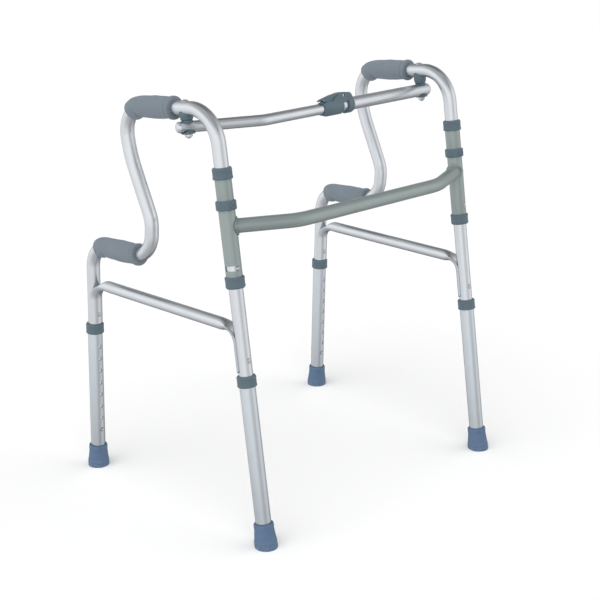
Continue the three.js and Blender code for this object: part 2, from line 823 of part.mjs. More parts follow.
// Plain band with a round boss on its front
function midCollar() {
  const half = MID_COLLAR_HEIGHT / 2;
  const bore = SLEEVE_RADIUS + COLLAR_GAP;
  const band = turned([
    [bore, -half],
    [MID_COLLAR_RADIUS - 1, -half],
    [MID_COLLAR_RADIUS, -half + 1.5],
    [MID_COLLAR_RADIUS, half - 1.5],
    [MID_COLLAR_RADIUS - 1, half],
    [bore, half],
  ], SLEEVE_SIDES);
  return join(band, crossHole(5.4, 3, -MID_COLLAR_RADIUS, 0, 12));
}

// ---- Assembly ----

leaning.add(named('front_cross_tube', crossTube(), GREY_PAINT));

for (const [sideName, side] of [['left', 1], ['right', -1]]) {
  const sleeves = new THREE.Group();
  sleeves.position.x = side * HINGE_HALF_WIDTH;
  const bottomCollar = named(`bottom_collar_${sideName}`, capCollar(), COLLAR_PLASTIC);
  bottomCollar.position.z = BOTTOM_COLLAR;
  bottomCollar.rotation.x = Math.PI;
  const collarBetween = named(`mid_collar_${sideName}`, midCollar(), COLLAR_PLASTIC);
  collarBetween.position.z = MID_COLLAR;
  const topCollar = named(`top_collar_${sideName}`, capCollar(), COLLAR_PLASTIC);
  topCollar.position.z = TOP_COLLAR;
  sleeves.add(
    named(`lower_sleeve_${sideName}`, slottedSleeve(side), GREY_PAINT),
    named(`upper_sleeve_${sideName}`, sleeveTube(MID_COLLAR + 0.2, TOP_COLLAR + 7), GREY_PAINT),
    bottomCollar,
    collarBetween,
    topCollar,
  );

  const frame = new THREE.Group();
  frame.position.x = side * HINGE_HALF_WIDTH;
  frame.rotation.z = -side * TOE_OUT;
  frame.add(
    named(`side_frame_${sideName}`, sideFrameTube(side), ALUMINIUM),
    named(`side_brace_${sideName}`, sideBrace(), ALUMINIUM),
    named(`high_grip_${sideName}`, grip(0, HIGH_GRIP_START), FOAM),
    named(`low_grip_${sideName}`, grip(4, LOW_GRIP_START), FOAM),
    leg('front', sideName, FRONT_EXTENSION_TOP, 1),
  );

  const rearLeg = leg('rear', sideName, REAR_EXTENSION_TOP, -1);
  rearLeg.position.copy(rearFoot);
  rearLeg.rotation.x = FRONT_LEAN + REAR_LEAN;
  const rivetLength = SADDLE_RADIUS + TUBE_RADIUS + 1;
  const rearRivet = named(`brace_rivet_rear_${sideName}`, rivet(rivetLength), ALUMINIUM);
  rearRivet.position.set(0, -SADDLE_RADIUS - RUNNING_GAP, REAR_RIVET);
  rearLeg.add(rearRivet);
  const frontRivet = named(`brace_rivet_front_${sideName}`, rivet(rivetLength), ALUMINIUM);
  frontRivet.position.set(0, -TUBE_RADIUS - RUNNING_GAP, FRONT_RIVET);
  frame.add(rearLeg, frontRivet);

  const pin = crossHole(PIN_RADIUS, PIN_LENGTH, SLEEVE_RADIUS + 1 - PIN_LENGTH / 2, 0, 10);
  frame.add(named(`fold_pin_${sideName}`, pinAcross(pin, side, SLOT_CENTRE), STEEL));

  const barRadius = side > 0 ? OUTER_RADIUS : INNER_RADIUS;
  const clearance = side > 0 ? RUNNING_GAP : CRANK_CLEARANCE;
  const level = side > 0 ? BAR_LEVEL : CRANK_LEVEL;
  const washerTop = barRadius + clearance + SADDLE_WASHER_WEB;
  const stack = new THREE.Group();
  stack.position.y = BOLT_DEPTH;
  const boltFoot = side > 0 ? level - washerTop - 8 : level + washerTop + RUNNING_GAP;
  stack.add(
    named(`pivot_bolt_${sideName}`, headedBolt(boltFoot), STEEL),
    named(`pivot_spacer_${sideName}`, spacer(level + washerTop + RUNNING_GAP), COLLAR_PLASTIC),
  );
  frame.add(stack);
  leaning.add(sleeves, frame);

  // Pieces that turn with the bar, placed in the bar's own frame
  const turning = new THREE.Group();
  if (side < 0) {
    turning.position.copy(rightBoltInBar);
    turning.rotation.z = crankedYaw;
    const stud = rod(BOLT_RADIUS, 2 * washerTop + 8, 10);
    stud.translate(0, 0, -4);
    turning.add(named('pivot_stud_right', stud, STEEL));
  }
  const upper = named(`saddle_washer_upper_${sideName}`, saddleWasher(barRadius, clearance), COLLAR_PLASTIC);
  const lower = named(`saddle_washer_lower_${sideName}`, saddleWasher(barRadius, clearance), COLLAR_PLASTIC);
  lower.rotation.x = Math.PI;
  const nut = named(`pivot_nut_${sideName}`, lockNut(), STEEL);
  nut.rotation.x = Math.PI;
  nut.position.z = -washerTop - RUNNING_GAP;
  turning.add(upper, lower, nut);
  bar.add(turning);
}

bar.add(
  named('bar_outer_tube', outerBar(), ALUMINIUM),
  named('bar_inner_tube', innerBar(), ALUMINIUM),
);
const bush = named('bar_guide_bush', guideBush(), COLLAR_PLASTIC);
bush.position.x = -OUTER_LENGTH + BUSH_SETBACK;
bar.add(bush);

const barCatch = new THREE.Group();
barCatch.position.x = -OUTER_LENGTH;
const lockPin = named('bar_catch_pin', catchPin(), STEEL);
lockPin.position.set(CATCH_PIN_X, 0, CATCH_PIN_HEIGHT);
barCatch.add(
  named('bar_catch_housing', catchHousing(), COLLAR_PLASTIC),
  named('bar_catch_lever', catchLever(), COLLAR_PLASTIC),
  lockPin,
);
bar.add(barCatch);
leaning.add(bar);

// The rubber tips are worn flat on the floor
walker.updateMatrixWorld(true);
walker.traverse((piece) => {
  if (!piece.name.startsWith('rubber_tip_')) return;
  const floor = box([-1000, 1000], [-1000, 1000], [-200, 0]);
  floor.applyMatrix4(piece.matrixWorld.clone().invert());
  piece.geometry = cut(piece.geometry, floor);
});

export default walker;
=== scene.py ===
"""Folding walking frame: the finished look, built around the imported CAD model.

Local shapes are in millimetres, in the same local frames as the CAD part. The place matrices turn them
into metres in the shared frame.
"""

import functools
import json
import math

import bmesh
import bpy
import numpy as np
from mathutils import Matrix, Vector

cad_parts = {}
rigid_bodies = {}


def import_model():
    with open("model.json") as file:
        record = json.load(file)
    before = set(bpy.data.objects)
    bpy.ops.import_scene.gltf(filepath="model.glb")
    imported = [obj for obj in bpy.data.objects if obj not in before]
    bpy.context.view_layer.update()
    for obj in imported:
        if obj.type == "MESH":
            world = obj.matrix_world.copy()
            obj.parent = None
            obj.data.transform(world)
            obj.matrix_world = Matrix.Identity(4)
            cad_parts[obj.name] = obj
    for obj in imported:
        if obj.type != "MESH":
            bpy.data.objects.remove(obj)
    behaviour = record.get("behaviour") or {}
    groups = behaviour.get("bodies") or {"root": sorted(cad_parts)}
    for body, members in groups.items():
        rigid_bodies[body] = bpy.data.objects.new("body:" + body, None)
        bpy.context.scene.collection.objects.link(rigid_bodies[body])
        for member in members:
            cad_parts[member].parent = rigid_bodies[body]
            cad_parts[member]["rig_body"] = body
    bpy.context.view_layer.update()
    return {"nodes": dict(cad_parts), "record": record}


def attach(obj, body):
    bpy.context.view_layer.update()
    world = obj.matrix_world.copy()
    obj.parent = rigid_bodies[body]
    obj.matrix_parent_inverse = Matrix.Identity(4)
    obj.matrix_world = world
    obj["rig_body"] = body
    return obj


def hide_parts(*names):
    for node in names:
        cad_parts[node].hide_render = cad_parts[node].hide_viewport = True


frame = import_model()

# ---- Camera ----

CAMERA_PLACE = (-1.74694, -1.81702, 1.17699)
CAMERA_AZIMUTH = math.radians(-44.207)
CAMERA_ELEVATION = math.radians(18.455)
CAMERA_LENS = 80.46


def away(azimuth, elevation):
    """Unit vector from the object towards a viewer there; azimuth 0 is in front, at -Y."""
    flat = math.cos(elevation)
    return Vector((math.sin(azimuth) * flat, -math.cos(azimuth) * flat, math.sin(elevation)))


def place_camera():
    data = bpy.data.cameras.new("camera")
    data.lens = CAMERA_LENS
    data.sensor_width = 36
    camera = bpy.data.objects.new("camera", data)
    camera.location = CAMERA_PLACE
    camera.rotation_euler = (-away(CAMERA_AZIMUTH, CAMERA_ELEVATION)).to_track_quat("-Z", "Y").to_euler()
    bpy.context.scene.collection.objects.link(camera)
    bpy.context.scene.camera = camera


place_camera()

# ---- Dimensions shared with the CAD part, in millimetres ----

MM = 0.001
FRONT_LEAN = math.radians(8.63)
REAR_LEAN = math.radians(1.79)
TOE_OUT = math.radians(1.3)

TUBE_RADIUS = 12.7
TUBE_BORE = 11.5
HANDLE_TOP = (117, 770.7, 64)          # depth, height, bend radius
HANDLE_REAR = (359.4, 746.9, 52.7)
DIAGONAL_TOP = (349.9, 666.5, 200)
DIAGONAL_FOOT = (292.1, 546.5, 61)
LOW_HANDLE_FRONT = (296.1, 475.9, 50)
LOW_HANDLE_REAR = (473.3, 465.8, 49.4)
LEG_END = 62

EXTENSION_RADIUS = 14.3
EXTENSION_BORE = 13.15
FRONT_EXTENSION_TOP = 315.5
REAR_EXTENSION_TOP = 303
HOLE_PITCH = 25.4
HOLE_COUNT = 8
HOLE_RADIUS = 3.9
BUTTON_HEIGHT = 81
TIP_HEIGHT = 45
COLLAR_HEIGHT = 20

SLEEVE_RADIUS = 14.6
SLEEVE_BORE = 13.1
BOTTOM_COLLAR = 484.5
MID_COLLAR = 618
TOP_COLLAR = 672.6
SLOT_CENTRE = 510
SLOT_HEIGHT = 9.5
PIN_ANGLE = 14
FOLD_RANGE = 86
SLOT_MARGIN = 16

CROSS_END = (301, 87, 575)             # half width, depth, height
CROSS_CORNER = (185, 34, 575)
CROSS_BEND = 100

BRACE_RADIUS = 11
BRACE_REAR = (461.7, 389.6, 35)
BRACE_FRONT = (74, 396.3, 30)
SADDLE_RADIUS = 15.3
SADDLE_BORE = 12.9
REAR_SADDLE_END = 308
FRONT_SADDLE_END = 324
REAR_RIVET = 327
FRONT_RIVET = 346

GRIP_LENGTH = 120
HIGH_GRIP_START = 41
LOW_GRIP_START = -11

BOLT_DEPTH = 75
BOLT_RADIUS = 3
OUTER_RADIUS = 12.25
OUTER_BORE = 11.25
INNER_RADIUS = 10
INNER_BORE = 9
BAR_LEVEL = 744
CRANK_LEVEL = 751.7
CRANK_LENGTH = 142
CRANK_SETBACK = 38
CRANK_BEND = 60
BAR_END = 14.5
END_DEPTH = 0.72                       # of the tube's radius
OUTER_LENGTH = 305
INNER_END = 178
CATCH_RING_START = 61
CATCH_PIN_X = 50
CATCH_PIN_HEIGHT = 19

# ---- Local frames ----

front_foot = next(m for m in frame["record"]["mounts"] if m["name"] == "floor_front_left")["pos_m"]
HINGE_HALF_WIDTH = front_foot[0] / MM

LEANING = (
    Matrix.Translation((0, front_foot[1], 0))
    @ Matrix.Rotation(-FRONT_LEAN, 4, "X")
    @ Matrix.Scale(MM, 4)
)
SIDES = {"left": 1, "right": -1}


def shift(x, y, z):
    return Matrix.Translation((x, y, z))


def turn(angle, axis):
    return Matrix.Rotation(angle, 4, axis)


def leaning_point(across, depth, height):
    """Side view depth and height, square to the floor, as a point square to the front legs."""
    return Vector((
        across,
        depth * math.cos(FRONT_LEAN) - height * math.sin(FRONT_LEAN),
        depth * math.sin(FRONT_LEAN) + height * math.cos(FRONT_LEAN),
    ))


def side_place(side):
    return LEANING @ shift(side * HINGE_HALF_WIDTH, 0, 0) @ turn(-side * TOE_OUT, "Z")


def rear_foot_point():
    """Foot of the rear leg's axis in the side frame, from the CAD model's own mount."""
    mount = next(m for m in frame["record"]["mounts"] if m["name"] == "floor_rear_left")
    local = side_place(1).inverted() @ Vector(mount["pos_m"])
    return Vector((0, local.y, local.z))


REAR_FOOT = rear_foot_point()
REAR_UP = Vector((0, -math.sin(FRONT_LEAN + REAR_LEAN), math.cos(FRONT_LEAN + REAR_LEAN)))
REAR_LEG = shift(*REAR_FOOT) @ turn(FRONT_LEAN + REAR_LEAN, "X")

# ---- Mesh helpers ----


def new_mesh(points, faces):
    mesh = bpy.data.meshes.new("shape")
    mesh.from_pydata([tuple(p) for p in points], [], faces)
    work = bmesh.new()
    work.from_mesh(mesh)
    bmesh.ops.recalc_face_normals(work, faces=work.faces)
    work.to_mesh(mesh)
    work.free()
    return mesh


def loft(rings, poles=None):
    """Closed skin over rings of equal count. Without poles the last ring joins the first."""
    rings = np.asarray(rings, float)
    rows, columns = rings.shape[:2]
    points = rings.reshape(-1, 3)
    faces = []
    for row in range(rows if poles is None else rows - 1):
        below = row * columns
        above = (row + 1) % rows * columns
        for column in range(columns):
            beside = (column + 1) % columns
            faces.append((below + column, below + beside, above + beside, above + column))
    if poles is not None:
        first, last = len(points), len(points) + 1
        points = np.vstack([points, np.asarray(poles, float)])
        top = (rows - 1) * columns
        for column in range(columns):
            beside = (column + 1) % columns
            faces.append((first, beside, column))
            faces.append((last, top + column, top + beside))
    return new_mesh(points, faces)


def soften(corners, reach=1.0, steps=4, closed=True):
    """Rounds the corners of an outline. reach is how far from the corner each rounding starts."""
    corners = np.asarray(corners, float)
    count = len(corners)
    outline = []
    for i, corner in enumerate(corners):
        if not closed and i in (0, count - 1):
            outline.append(corner)
            continue
        back = corners[i - 1] - corner
        ahead = corners[(i + 1) % count] - corner
        long_back, long_ahead = np.linalg.norm(back), np.linalg.norm(ahead)
        cut_back = min(reach, 0.45 * long_back) / long_back
        cut_ahead = min(reach, 0.45 * long_ahead) / long_ahead
        start, end = corner + back * cut_back, corner + ahead * cut_ahead
        for t in np.linspace(0, 1, steps + 1):
            outline.append((1 - t) ** 2 * start + 2 * t * (1 - t) * corner + t ** 2 * end)
    return np.array(outline)


def circle(radius, count):
    angles = np.linspace(0, 2 * math.pi, count, endpoint=False)
    return np.column_stack([radius * np.cos(angles), radius * np.sin(angles)])


def turned(profile, segments=64):
    """Ring turned about Z from [radius, height] points, or a solid if they start and end on the axis."""
    profile = np.asarray(profile, float)
    solid = profile[0][0] == 0
    body = profile[1:-1] if solid else profile
    unit = circle(1, segments)
    rings = [np.column_stack([unit * radius, np.full(segments, height)]) for radius, height in body]
    poles = [(0, 0, profile[0][1]), (0, 0, profile[-1][1])] if solid else None
    return loft(rings, poles)


def rod(radius, low, high, segments=48):
    return turned([(0, low), (radius, low), (radius, high), (0, high)], segments)


def wall(bore, radius, low, high, rounding, segments):
    """Plain tube about Z with softened rims."""
    profile = [(bore, low), (radius, low), (radius, high), (bore, high)]
    return turned(soften(profile, rounding, 2), segments)


def collar(profile):
    return turned(soften(profile, 0.5, 3), 96)


def moved(mesh, matrix):
    mesh.transform(matrix)
    return mesh


def grouped(*meshes):
    """Several meshes as one, without joining their skins."""
    work = bmesh.new()
    for mesh in meshes:
        work.from_mesh(mesh)
        bpy.data.meshes.remove(mesh)
    mesh = bpy.data.meshes.new("group")
    work.to_mesh(mesh)
    work.free()
    return mesh


def combined(base, tool, operation):
    """The two meshes joined, cut or intersected."""
    holders = [bpy.data.objects.new("holder", mesh) for mesh in (base, tool)]
    for holder in holders:
        bpy.context.scene.collection.objects.link(holder)
    modifier = holders[0].modifiers.new("combine", "BOOLEAN")
    modifier.operation = operation
    modifier.solver = "EXACT"
    modifier.object = holders[1]
    graph = bpy.context.evaluated_depsgraph_get()
    result = bpy.data.meshes.new_from_object(holders[0].evaluated_get(graph))
    for holder in holders:
        mesh = holder.data
        bpy.data.objects.remove(holder)
        bpy.data.meshes.remove(mesh)
    return result


def cut(base, *tools):
    return combined(base, grouped(*tools), "DIFFERENCE")


def join(base, *parts):
    for part in parts:
        base = combined(base, part, "UNION")
    return base


def inset(corners, distance):
    """The closed outline with every side moved inwards."""
    following = np.roll(corners, -1, 0)
    ahead = following - corners
    ahead /= np.linalg.norm(ahead, axis=1)[:, None]
    areas = corners[:, 0] * following[:, 1] - following[:, 0] * corners[:, 1]
    spin = np.sign(areas.sum())
    inward = np.column_stack([-ahead[:, 1], ahead[:, 0]]) * spin
    before = np.roll(inward, 1, 0)
    spread = 1 + np.einsum("ij,ij->i", inward, before)
    return corners + (inward + before) * distance / spread[:, None]


def slab(corners, half_width, reach, rounding, steps=4):
    """Side view outline in x and z, as thick as twice half_width along y, with rounded rims and corners."""
    corners = np.asarray(corners, float)
    rings = []
    for side in (-1, 1):
        for t in np.linspace(0, math.pi / 2, steps + 1)[::side]:
            depth = rounding * (1 - math.cos(t))
            level = half_width - rounding * (1 - math.sin(t))
            flat = soften(inset(corners, depth), max(reach - 0.6 * depth, 0.2), steps)
            rings.append(np.column_stack([flat[:, 0], np.full(len(flat), side * level), flat[:, 1]]))
    middle = corners.mean(0)
    return loft(rings, [(middle[0], -half_width, middle[1]), (middle[0], half_width, middle[1])])


def block(x_range, y_range, z_range, rounding=0.6):
    (left, right), (low, high) = x_range, z_range
    corners = [(left, low), (right, low), (right, high), (left, high)]
    mesh = slab(corners, (y_range[1] - y_range[0]) / 2, rounding, rounding)
    return moved(mesh, shift(0, (y_range[0] + y_range[1]) / 2, 0))


class Route:
    """A flat centre line of straight runs and arcs. Each corner is (point, bend radius)."""

    def __init__(self, corners, degrees_per_step=3, across=None):
        points, tangents = [], []
        self.bend_ends = []
        corners = [(Vector(point), bend) for point, bend in corners]
        for index, (corner, bend) in enumerate(corners):
            if index in (0, len(corners) - 1):
                other = corners[1][0] if index == 0 else corners[-2][0]
                direction = (other - corner if index == 0 else corner - other).normalized()
                points.append(corner)
                tangents.append(direction)
                continue
            arriving = (corner - corners[index - 1][0]).normalized()
            leaving = (corners[index + 1][0] - corner).normalized()
            angle = arriving.angle(leaving)
            inward = (leaving - arriving * leaving.dot(arriving)).normalized()
            centre = corner - arriving * bend * math.tan(angle / 2) + inward * bend
            for t in np.linspace(0, angle, max(2, math.ceil(math.degrees(angle) / degrees_per_step)) + 1):
                points.append(centre - inward * bend * math.cos(t) + arriving * bend * math.sin(t))
                tangents.append(arriving * math.cos(t) + inward * math.sin(t))
            self.bend_ends.append(len(points) - 1)
        self.points = np.array([tuple(p) for p in points])
        self.tangents = np.array([tuple(t) for t in tangents])
        if across is None:
            across = np.cross(self.tangents[0], self.tangents[-1])
        self.across = np.asarray(across, float) / np.linalg.norm(across)
        steps = np.linalg.norm(np.diff(self.points, axis=0), axis=1)
        self.distances = np.concatenate([[0], np.cumsum(steps)])
        self.bend_ends = [self.distances[i] for i in self.bend_ends]

    def at(self, distance):
        """Point and tangent at a distance along the line."""
        point = [np.interp(distance, self.distances, self.points[:, k]) for k in range(3)]
        tangent = np.array([np.interp(distance, self.distances, self.tangents[:, k]) for k in range(3)])
        return np.array(point), tangent / np.linalg.norm(tangent)

    def ring(self, point, tangent, section):
        """A section of [across, up] points set square to the line."""
        up = np.cross(tangent, self.across)
        return point + np.outer(section[:, 0], self.across) + np.outer(section[:, 1], up)

    def rings(self, section):
        return [self.ring(p, t, section) for p, t in zip(self.points, self.tangents)]

    def pipe(self, radius, bore, segments=48):
        outside = self.rings(circle(radius, segments))
        inside = self.rings(circle(bore, segments))
        return loft(outside + inside[::-1])

    def bar(self, radius, segments=48):
        return loft(self.rings(circle(radius, segments)), [self.points[0], self.points[-1]])

    def straighten(self, points):
        """The points as they would lie if the line were straight along z."""
        starts, ends = self.points[:-1], self.points[1:]
        runs = ends - starts
        lengths = np.maximum(np.einsum("ij,ij->i", runs, runs), 1e-9)
        straight = np.zeros_like(points)
        for i, point in enumerate(points):
            along = np.clip(np.einsum("ij,ij->i", point - starts, runs) / lengths, 0, 1)
            offsets = point - (starts + runs * along[:, None])
            nearest = np.argmin(np.einsum("ij,ij->i", offsets, offsets))
            distance = self.distances[nearest] + along[nearest] * math.sqrt(lengths[nearest])
            _, tangent = self.at(distance)
            up = np.cross(tangent, self.across)
            straight[i] = (offsets[nearest] @ self.across, offsets[nearest] @ up, distance)
        return straight


# ---- Materials ----


def add_node(tree, kind, inputs=None, **settings):
    """A shader node with its settings and inputs. A socket given as an input is linked to it."""
    node = tree.nodes.new("ShaderNode" + kind)
    for key, value in settings.items():
        setattr(node, key, value)
    for key, value in (inputs or {}).items():
        if isinstance(value, bpy.types.NodeSocket):
            tree.links.new(value, node.inputs[key])
        else:
            node.inputs[key].default_value = value
    return node


NOISE_LOW, NOISE_HIGH = 0.3, 0.7       # where most of a noise pattern lies


class Look:
    """A Principled material with helpers for the patterns that drive it."""

    def __init__(self, name, metallic=0.0, **sockets):
        self.material = bpy.data.materials.new(name)
        self.material.use_nodes = True
        self.tree = self.material.node_tree
        self.tree.nodes.clear()
        self.shader = self.add("BsdfPrincipled", {"Metallic": metallic})
        for socket, value in sockets.items():
            self.shader.inputs[socket.replace("_", " ")].default_value = value
        self.add("OutputMaterial", {"Surface": self.shader.outputs["BSDF"]})
        self.grain = self.add("Attribute", attribute_name="grain").outputs["Vector"]

    def add(self, kind, inputs=None, **settings):
        return add_node(self.tree, kind, inputs, **settings)

    def stretched(self, x, y, z):
        """The local millimetres, scaled on each axis."""
        return self.add("Mapping", {"Vector": self.grain, "Scale": (x, y, z)}).outputs["Vector"]

    def noise(self, scale, detail=3.0, rough=0.55, vector=None, distortion=0.0):
        return self.add("TexNoise", {
            "Vector": vector or self.grain, "Scale": scale, "Detail": detail, "Roughness": rough,
            "Distortion": distortion,
        }).outputs["Fac"]

    def cells(self, scale):
        """Distance to the nearest of many scattered points."""
        return self.add("TexVoronoi", {"Vector": self.grain, "Scale": scale}).outputs["Distance"]

    def spread(self, value, low, high, to_low=0.0, to_high=1.0):
        """The value, eased from one range to another."""
        return self.add("MapRange", {
            "Value": value, "From Min": low, "From Max": high, "To Min": to_low, "To Max": to_high,
        }, interpolation_type="SMOOTHSTEP").outputs["Result"]

    def band(self, pattern, low, high):
        """A noise pattern as a number from low to high."""
        return self.spread(pattern, NOISE_LOW, NOISE_HIGH, low, high)

    def arithmetic(self, operation, first, second):
        return self.add("Math", {0: first, 1: second}, operation=operation).outputs["Value"]

    def plus(self, first, second):
        return self.arithmetic("ADD", first, second)

    def times(self, first, second):
        return self.arithmetic("MULTIPLY", first, second)

    def mix(self, factor, first, second):
        inputs = {"Factor": factor, "A": first, "B": second}
        return self.add("Mix", inputs, data_type="RGBA").outputs["Result"]

    def edges(self):
        """High where the surface is convex, for worn rims."""
        return self.add("NewGeometry").outputs["Pointiness"]

    def height(self):
        """Millimetres along the local z axis."""
        return self.add("SeparateXYZ", {"Vector": self.grain}).outputs["Z"]

    def bump(self, value, strength, distance=0.0002, under=None):
        inputs = {"Height": value, "Strength": strength, "Distance": distance}
        if under is not None:
            inputs["Normal"] = under
        return self.add("Bump", inputs).outputs["Normal"]

    def finish(self, colour, roughness, normal):
        for socket, value in {"Base Color": colour, "Roughness": roughness, "Normal": normal}.items():
            self.tree.links.new(value, self.shader.inputs[socket])
        return self.material


def tone(red, green, blue):
    """Display colour from 0 to 255 as the shader's linear colour."""
    def linear(value):
        value /= 255
        return value / 12.92 if value <= 0.04045 else ((value + 0.055) / 1.055) ** 2.4
    return (linear(red), linear(green), linear(blue), 1.0)


def aluminium():
    """Drawn tube with a satin anodised skin: fine lines along the tube and faint handling marks."""
    look = Look("anodised_aluminium", metallic=1.0)
    drawn = look.noise(1.0, detail=4, rough=0.6, vector=look.stretched(1.6, 1.6, 0.012))
    rub = look.spread(look.noise(0.25, detail=5, rough=0.7, distortion=0.6), 0.62, 0.75)
    colour = look.mix(look.noise(0.035), tone(216, 221, 226), tone(228, 232, 237))
    colour = look.mix(look.times(rub, 0.35), colour, tone(204, 212, 219))
    rough = look.plus(look.band(drawn, 0.25, 0.31), look.times(rub, 0.05))
    return look.finish(colour, rough, look.bump(drawn, 0.05, 0.00003))


def extension_aluminium():
    """The leg's outer tube: duller, with rings scuffed by the collar and the floor end marked."""
    look = Look("scuffed_aluminium", metallic=1.0)
    drawn = look.noise(1.0, detail=4, rough=0.6, vector=look.stretched(1.4, 1.4, 0.015))
    scuff = look.spread(look.noise(0.5, detail=6, rough=0.75, vector=look.stretched(1, 1, 3)), 0.6, 0.72)
    low = look.spread(look.height(), 130, 40)
    marks = look.times(scuff, look.plus(low, 0.25))
    colour = look.mix(look.noise(0.04), tone(203, 211, 217), tone(215, 222, 227))
    colour = look.mix(look.times(marks, 0.5), colour, tone(166, 173, 179))
    rough = look.plus(look.band(drawn, 0.3, 0.38), look.times(marks, 0.12))
    return look.finish(colour, rough, look.bump(drawn, 0.06, 0.00003))


def grey_paint():
    """Green-grey coating with a soft gloss, a slight orange peel and a few rubbed spots."""
    look = Look("green_grey_paint", metallic=0.5, Coat_Weight=0.5, Coat_Roughness=0.2,
                Specular_IOR_Level=0.6)
    peel = look.noise(0.4, detail=2)
    rubbed = look.spread(look.noise(0.16, detail=6, rough=0.7, distortion=0.4), 0.7, 0.78)
    colour = look.mix(look.noise(0.02, detail=4), tone(139, 151, 150), tone(147, 159, 158))
    colour = look.mix(look.times(rubbed, 0.25), colour, tone(172, 182, 182))
    rough = look.band(look.noise(0.08, detail=4), 0.28, 0.38)
    return look.finish(colour, rough, look.bump(peel, 0.035, 0.0001))


def moulded_plastic():
    """Blue-grey collars: fine spark texture, paler rubbed rims."""
    look = Look("blue_grey_plastic", Specular_IOR_Level=0.5)
    patches = look.spread(look.noise(0.4, detail=4), 0.35, 0.65)
    rubbed = look.times(look.spread(look.edges(), 0.52, 0.6), patches)
    colour = look.mix(look.noise(0.08, detail=4), tone(76, 94, 104), tone(88, 106, 116))
    colour = look.mix(look.times(rubbed, 0.5), colour, tone(136, 150, 158))
    rough = look.band(look.noise(0.2, detail=4), 0.38, 0.52)
    return look.finish(colour, rough, look.bump(look.cells(2.2), 0.18, 0.0001))


def tip_rubber():
    """Slate-blue rubber, dusty and scuffed towards the floor."""
    look = Look("slate_rubber", Specular_IOR_Level=0.4)
    low = look.spread(look.height(), 20, 0)
    scuff = look.times(look.spread(look.noise(0.35, detail=6, rough=0.7), 0.48, 0.66), low)
    colour = look.mix(look.noise(0.09, detail=4), tone(76, 98, 126), tone(90, 113, 141))
    colour = look.mix(look.times(scuff, 0.6), colour, tone(132, 140, 150))
    rough = look.band(look.noise(0.3, detail=4), 0.5, 0.68)
    normal = look.bump(look.noise(1.6), 0.2, 0.00015)
    return look.finish(colour, rough, look.bump(scuff, 0.2, 0.0002, normal))


def grip_foam():
    """Closed-cell foam: pinholes over mottled grey, with painted shade darkening the pinholes."""
    look = Look("grey_foam", Specular_IOR_Level=0.25, Sheen_Weight=0.08, Sheen_Roughness=0.6)
    pores = look.spread(look.cells(1.1), 0.05, 0.42)
    fine = look.noise(2.4, detail=4, rough=0.65)
    mottle = look.noise(0.06, detail=4)
    colour = look.mix(mottle, tone(109, 119, 128), tone(122, 132, 141))
    # painted shade: colour darkened inside the pinholes, standing in for the shade in the pores
    colour = look.mix(look.times(look.spread(pores, 1, 0), 0.35), colour, tone(80, 89, 97))
    normal = look.bump(pores, 0.28, 0.0003)
    return look.finish(colour, look.band(mottle, 0.82, 0.94), look.bump(fine, 0.25, 0.00025, normal))


def zinc_steel():
    """Zinc plated fasteners with a faint crystalline mottle."""
    look = Look("zinc_steel", metallic=1.0)
    mottle = look.noise(0.9, detail=5, rough=0.6)
    colour = look.mix(mottle, tone(198, 202, 206), tone(220, 222, 224))
    return look.finish(colour, look.band(mottle, 0.2, 0.36), look.bump(mottle, 0.12, 0.0001))


LOOKS = {
    "aluminium": aluminium(),
    "extension": extension_aluminium(),
    "paint": grey_paint(),
    "plastic": moulded_plastic(),
    "rubber": tip_rubber(),
    "foam": grip_foam(),
    "steel": zinc_steel(),
}

# ---- Placing the finished pieces ----

SHARP_ANGLE = math.radians(38)


def vertex_array(mesh):
    flat = np.zeros(len(mesh.vertices) * 3)
    mesh.vertices.foreach_get("co", flat)
    return flat.reshape(-1, 3)


def show(node, mesh, place, look, route=None, name=None):
    """Puts a finished mesh where a CAD node is, on the same body, with the given look; hides the node unless
    the piece has its own name.
    """
    points = vertex_array(mesh)
    local = points if route is None else route.straighten(points)
    grain = mesh.attributes.new("grain", "FLOAT_VECTOR", "POINT")
    grain.data.foreach_set("vector", local.astype(np.float32).ravel())
    mesh.transform(place)
    mesh.shade_smooth()
    mesh.set_sharp_from_angle(angle=SHARP_ANGLE)
    mesh.materials.clear()
    mesh.materials.append(LOOKS[look])
    mesh.update()
    piece = bpy.data.objects.new(name or f"{node}_detail", mesh)
    mesh.name = piece.name
    bpy.context.scene.collection.objects.link(piece)
    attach(piece, frame["nodes"][node]["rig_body"])
    if name is None:
        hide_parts(node)
    return piece


# ---- Side frames ----


def side_corner(corner):
    depth, height, bend = corner
    return leaning_point(0, depth, height), bend


ACROSS = (1, 0, 0)
FRAME_ROUTE = Route([
    ((0, 0, LEG_END), 0),
    side_corner(HANDLE_TOP),
    side_corner(HANDLE_REAR),
    side_corner(DIAGONAL_TOP),
    side_corner(DIAGONAL_FOOT),
    side_corner(LOW_HANDLE_FRONT),
    side_corner(LOW_HANDLE_REAR),
    (REAR_FOOT + REAR_UP * LEG_END, 0),
], across=ACROSS)


def height_over_bolt():
    """Height of the handle's centre line where the bolt goes through it."""
    front, rear = leaning_point(0, *HANDLE_TOP[:2]), leaning_point(0, *HANDLE_REAR[:2])
    return front.z + (rear.z - front.z) * (BOLT_DEPTH - front.y) / (rear.y - front.y)


HANDLE_OVER_BOLT = height_over_bolt()


def cross_rod(radius, start, end, height, segments=32):
    """Rod along y from start to end."""
    mesh = rod(radius, start, end, segments)
    return moved(mesh, shift(0, 0, height) @ turn(-math.pi / 2, "X"))


def pin_place(side):
    """Turns +y to the direction of the fold pin."""
    return turn(math.pi + side * math.radians(PIN_ANGLE), "Z")


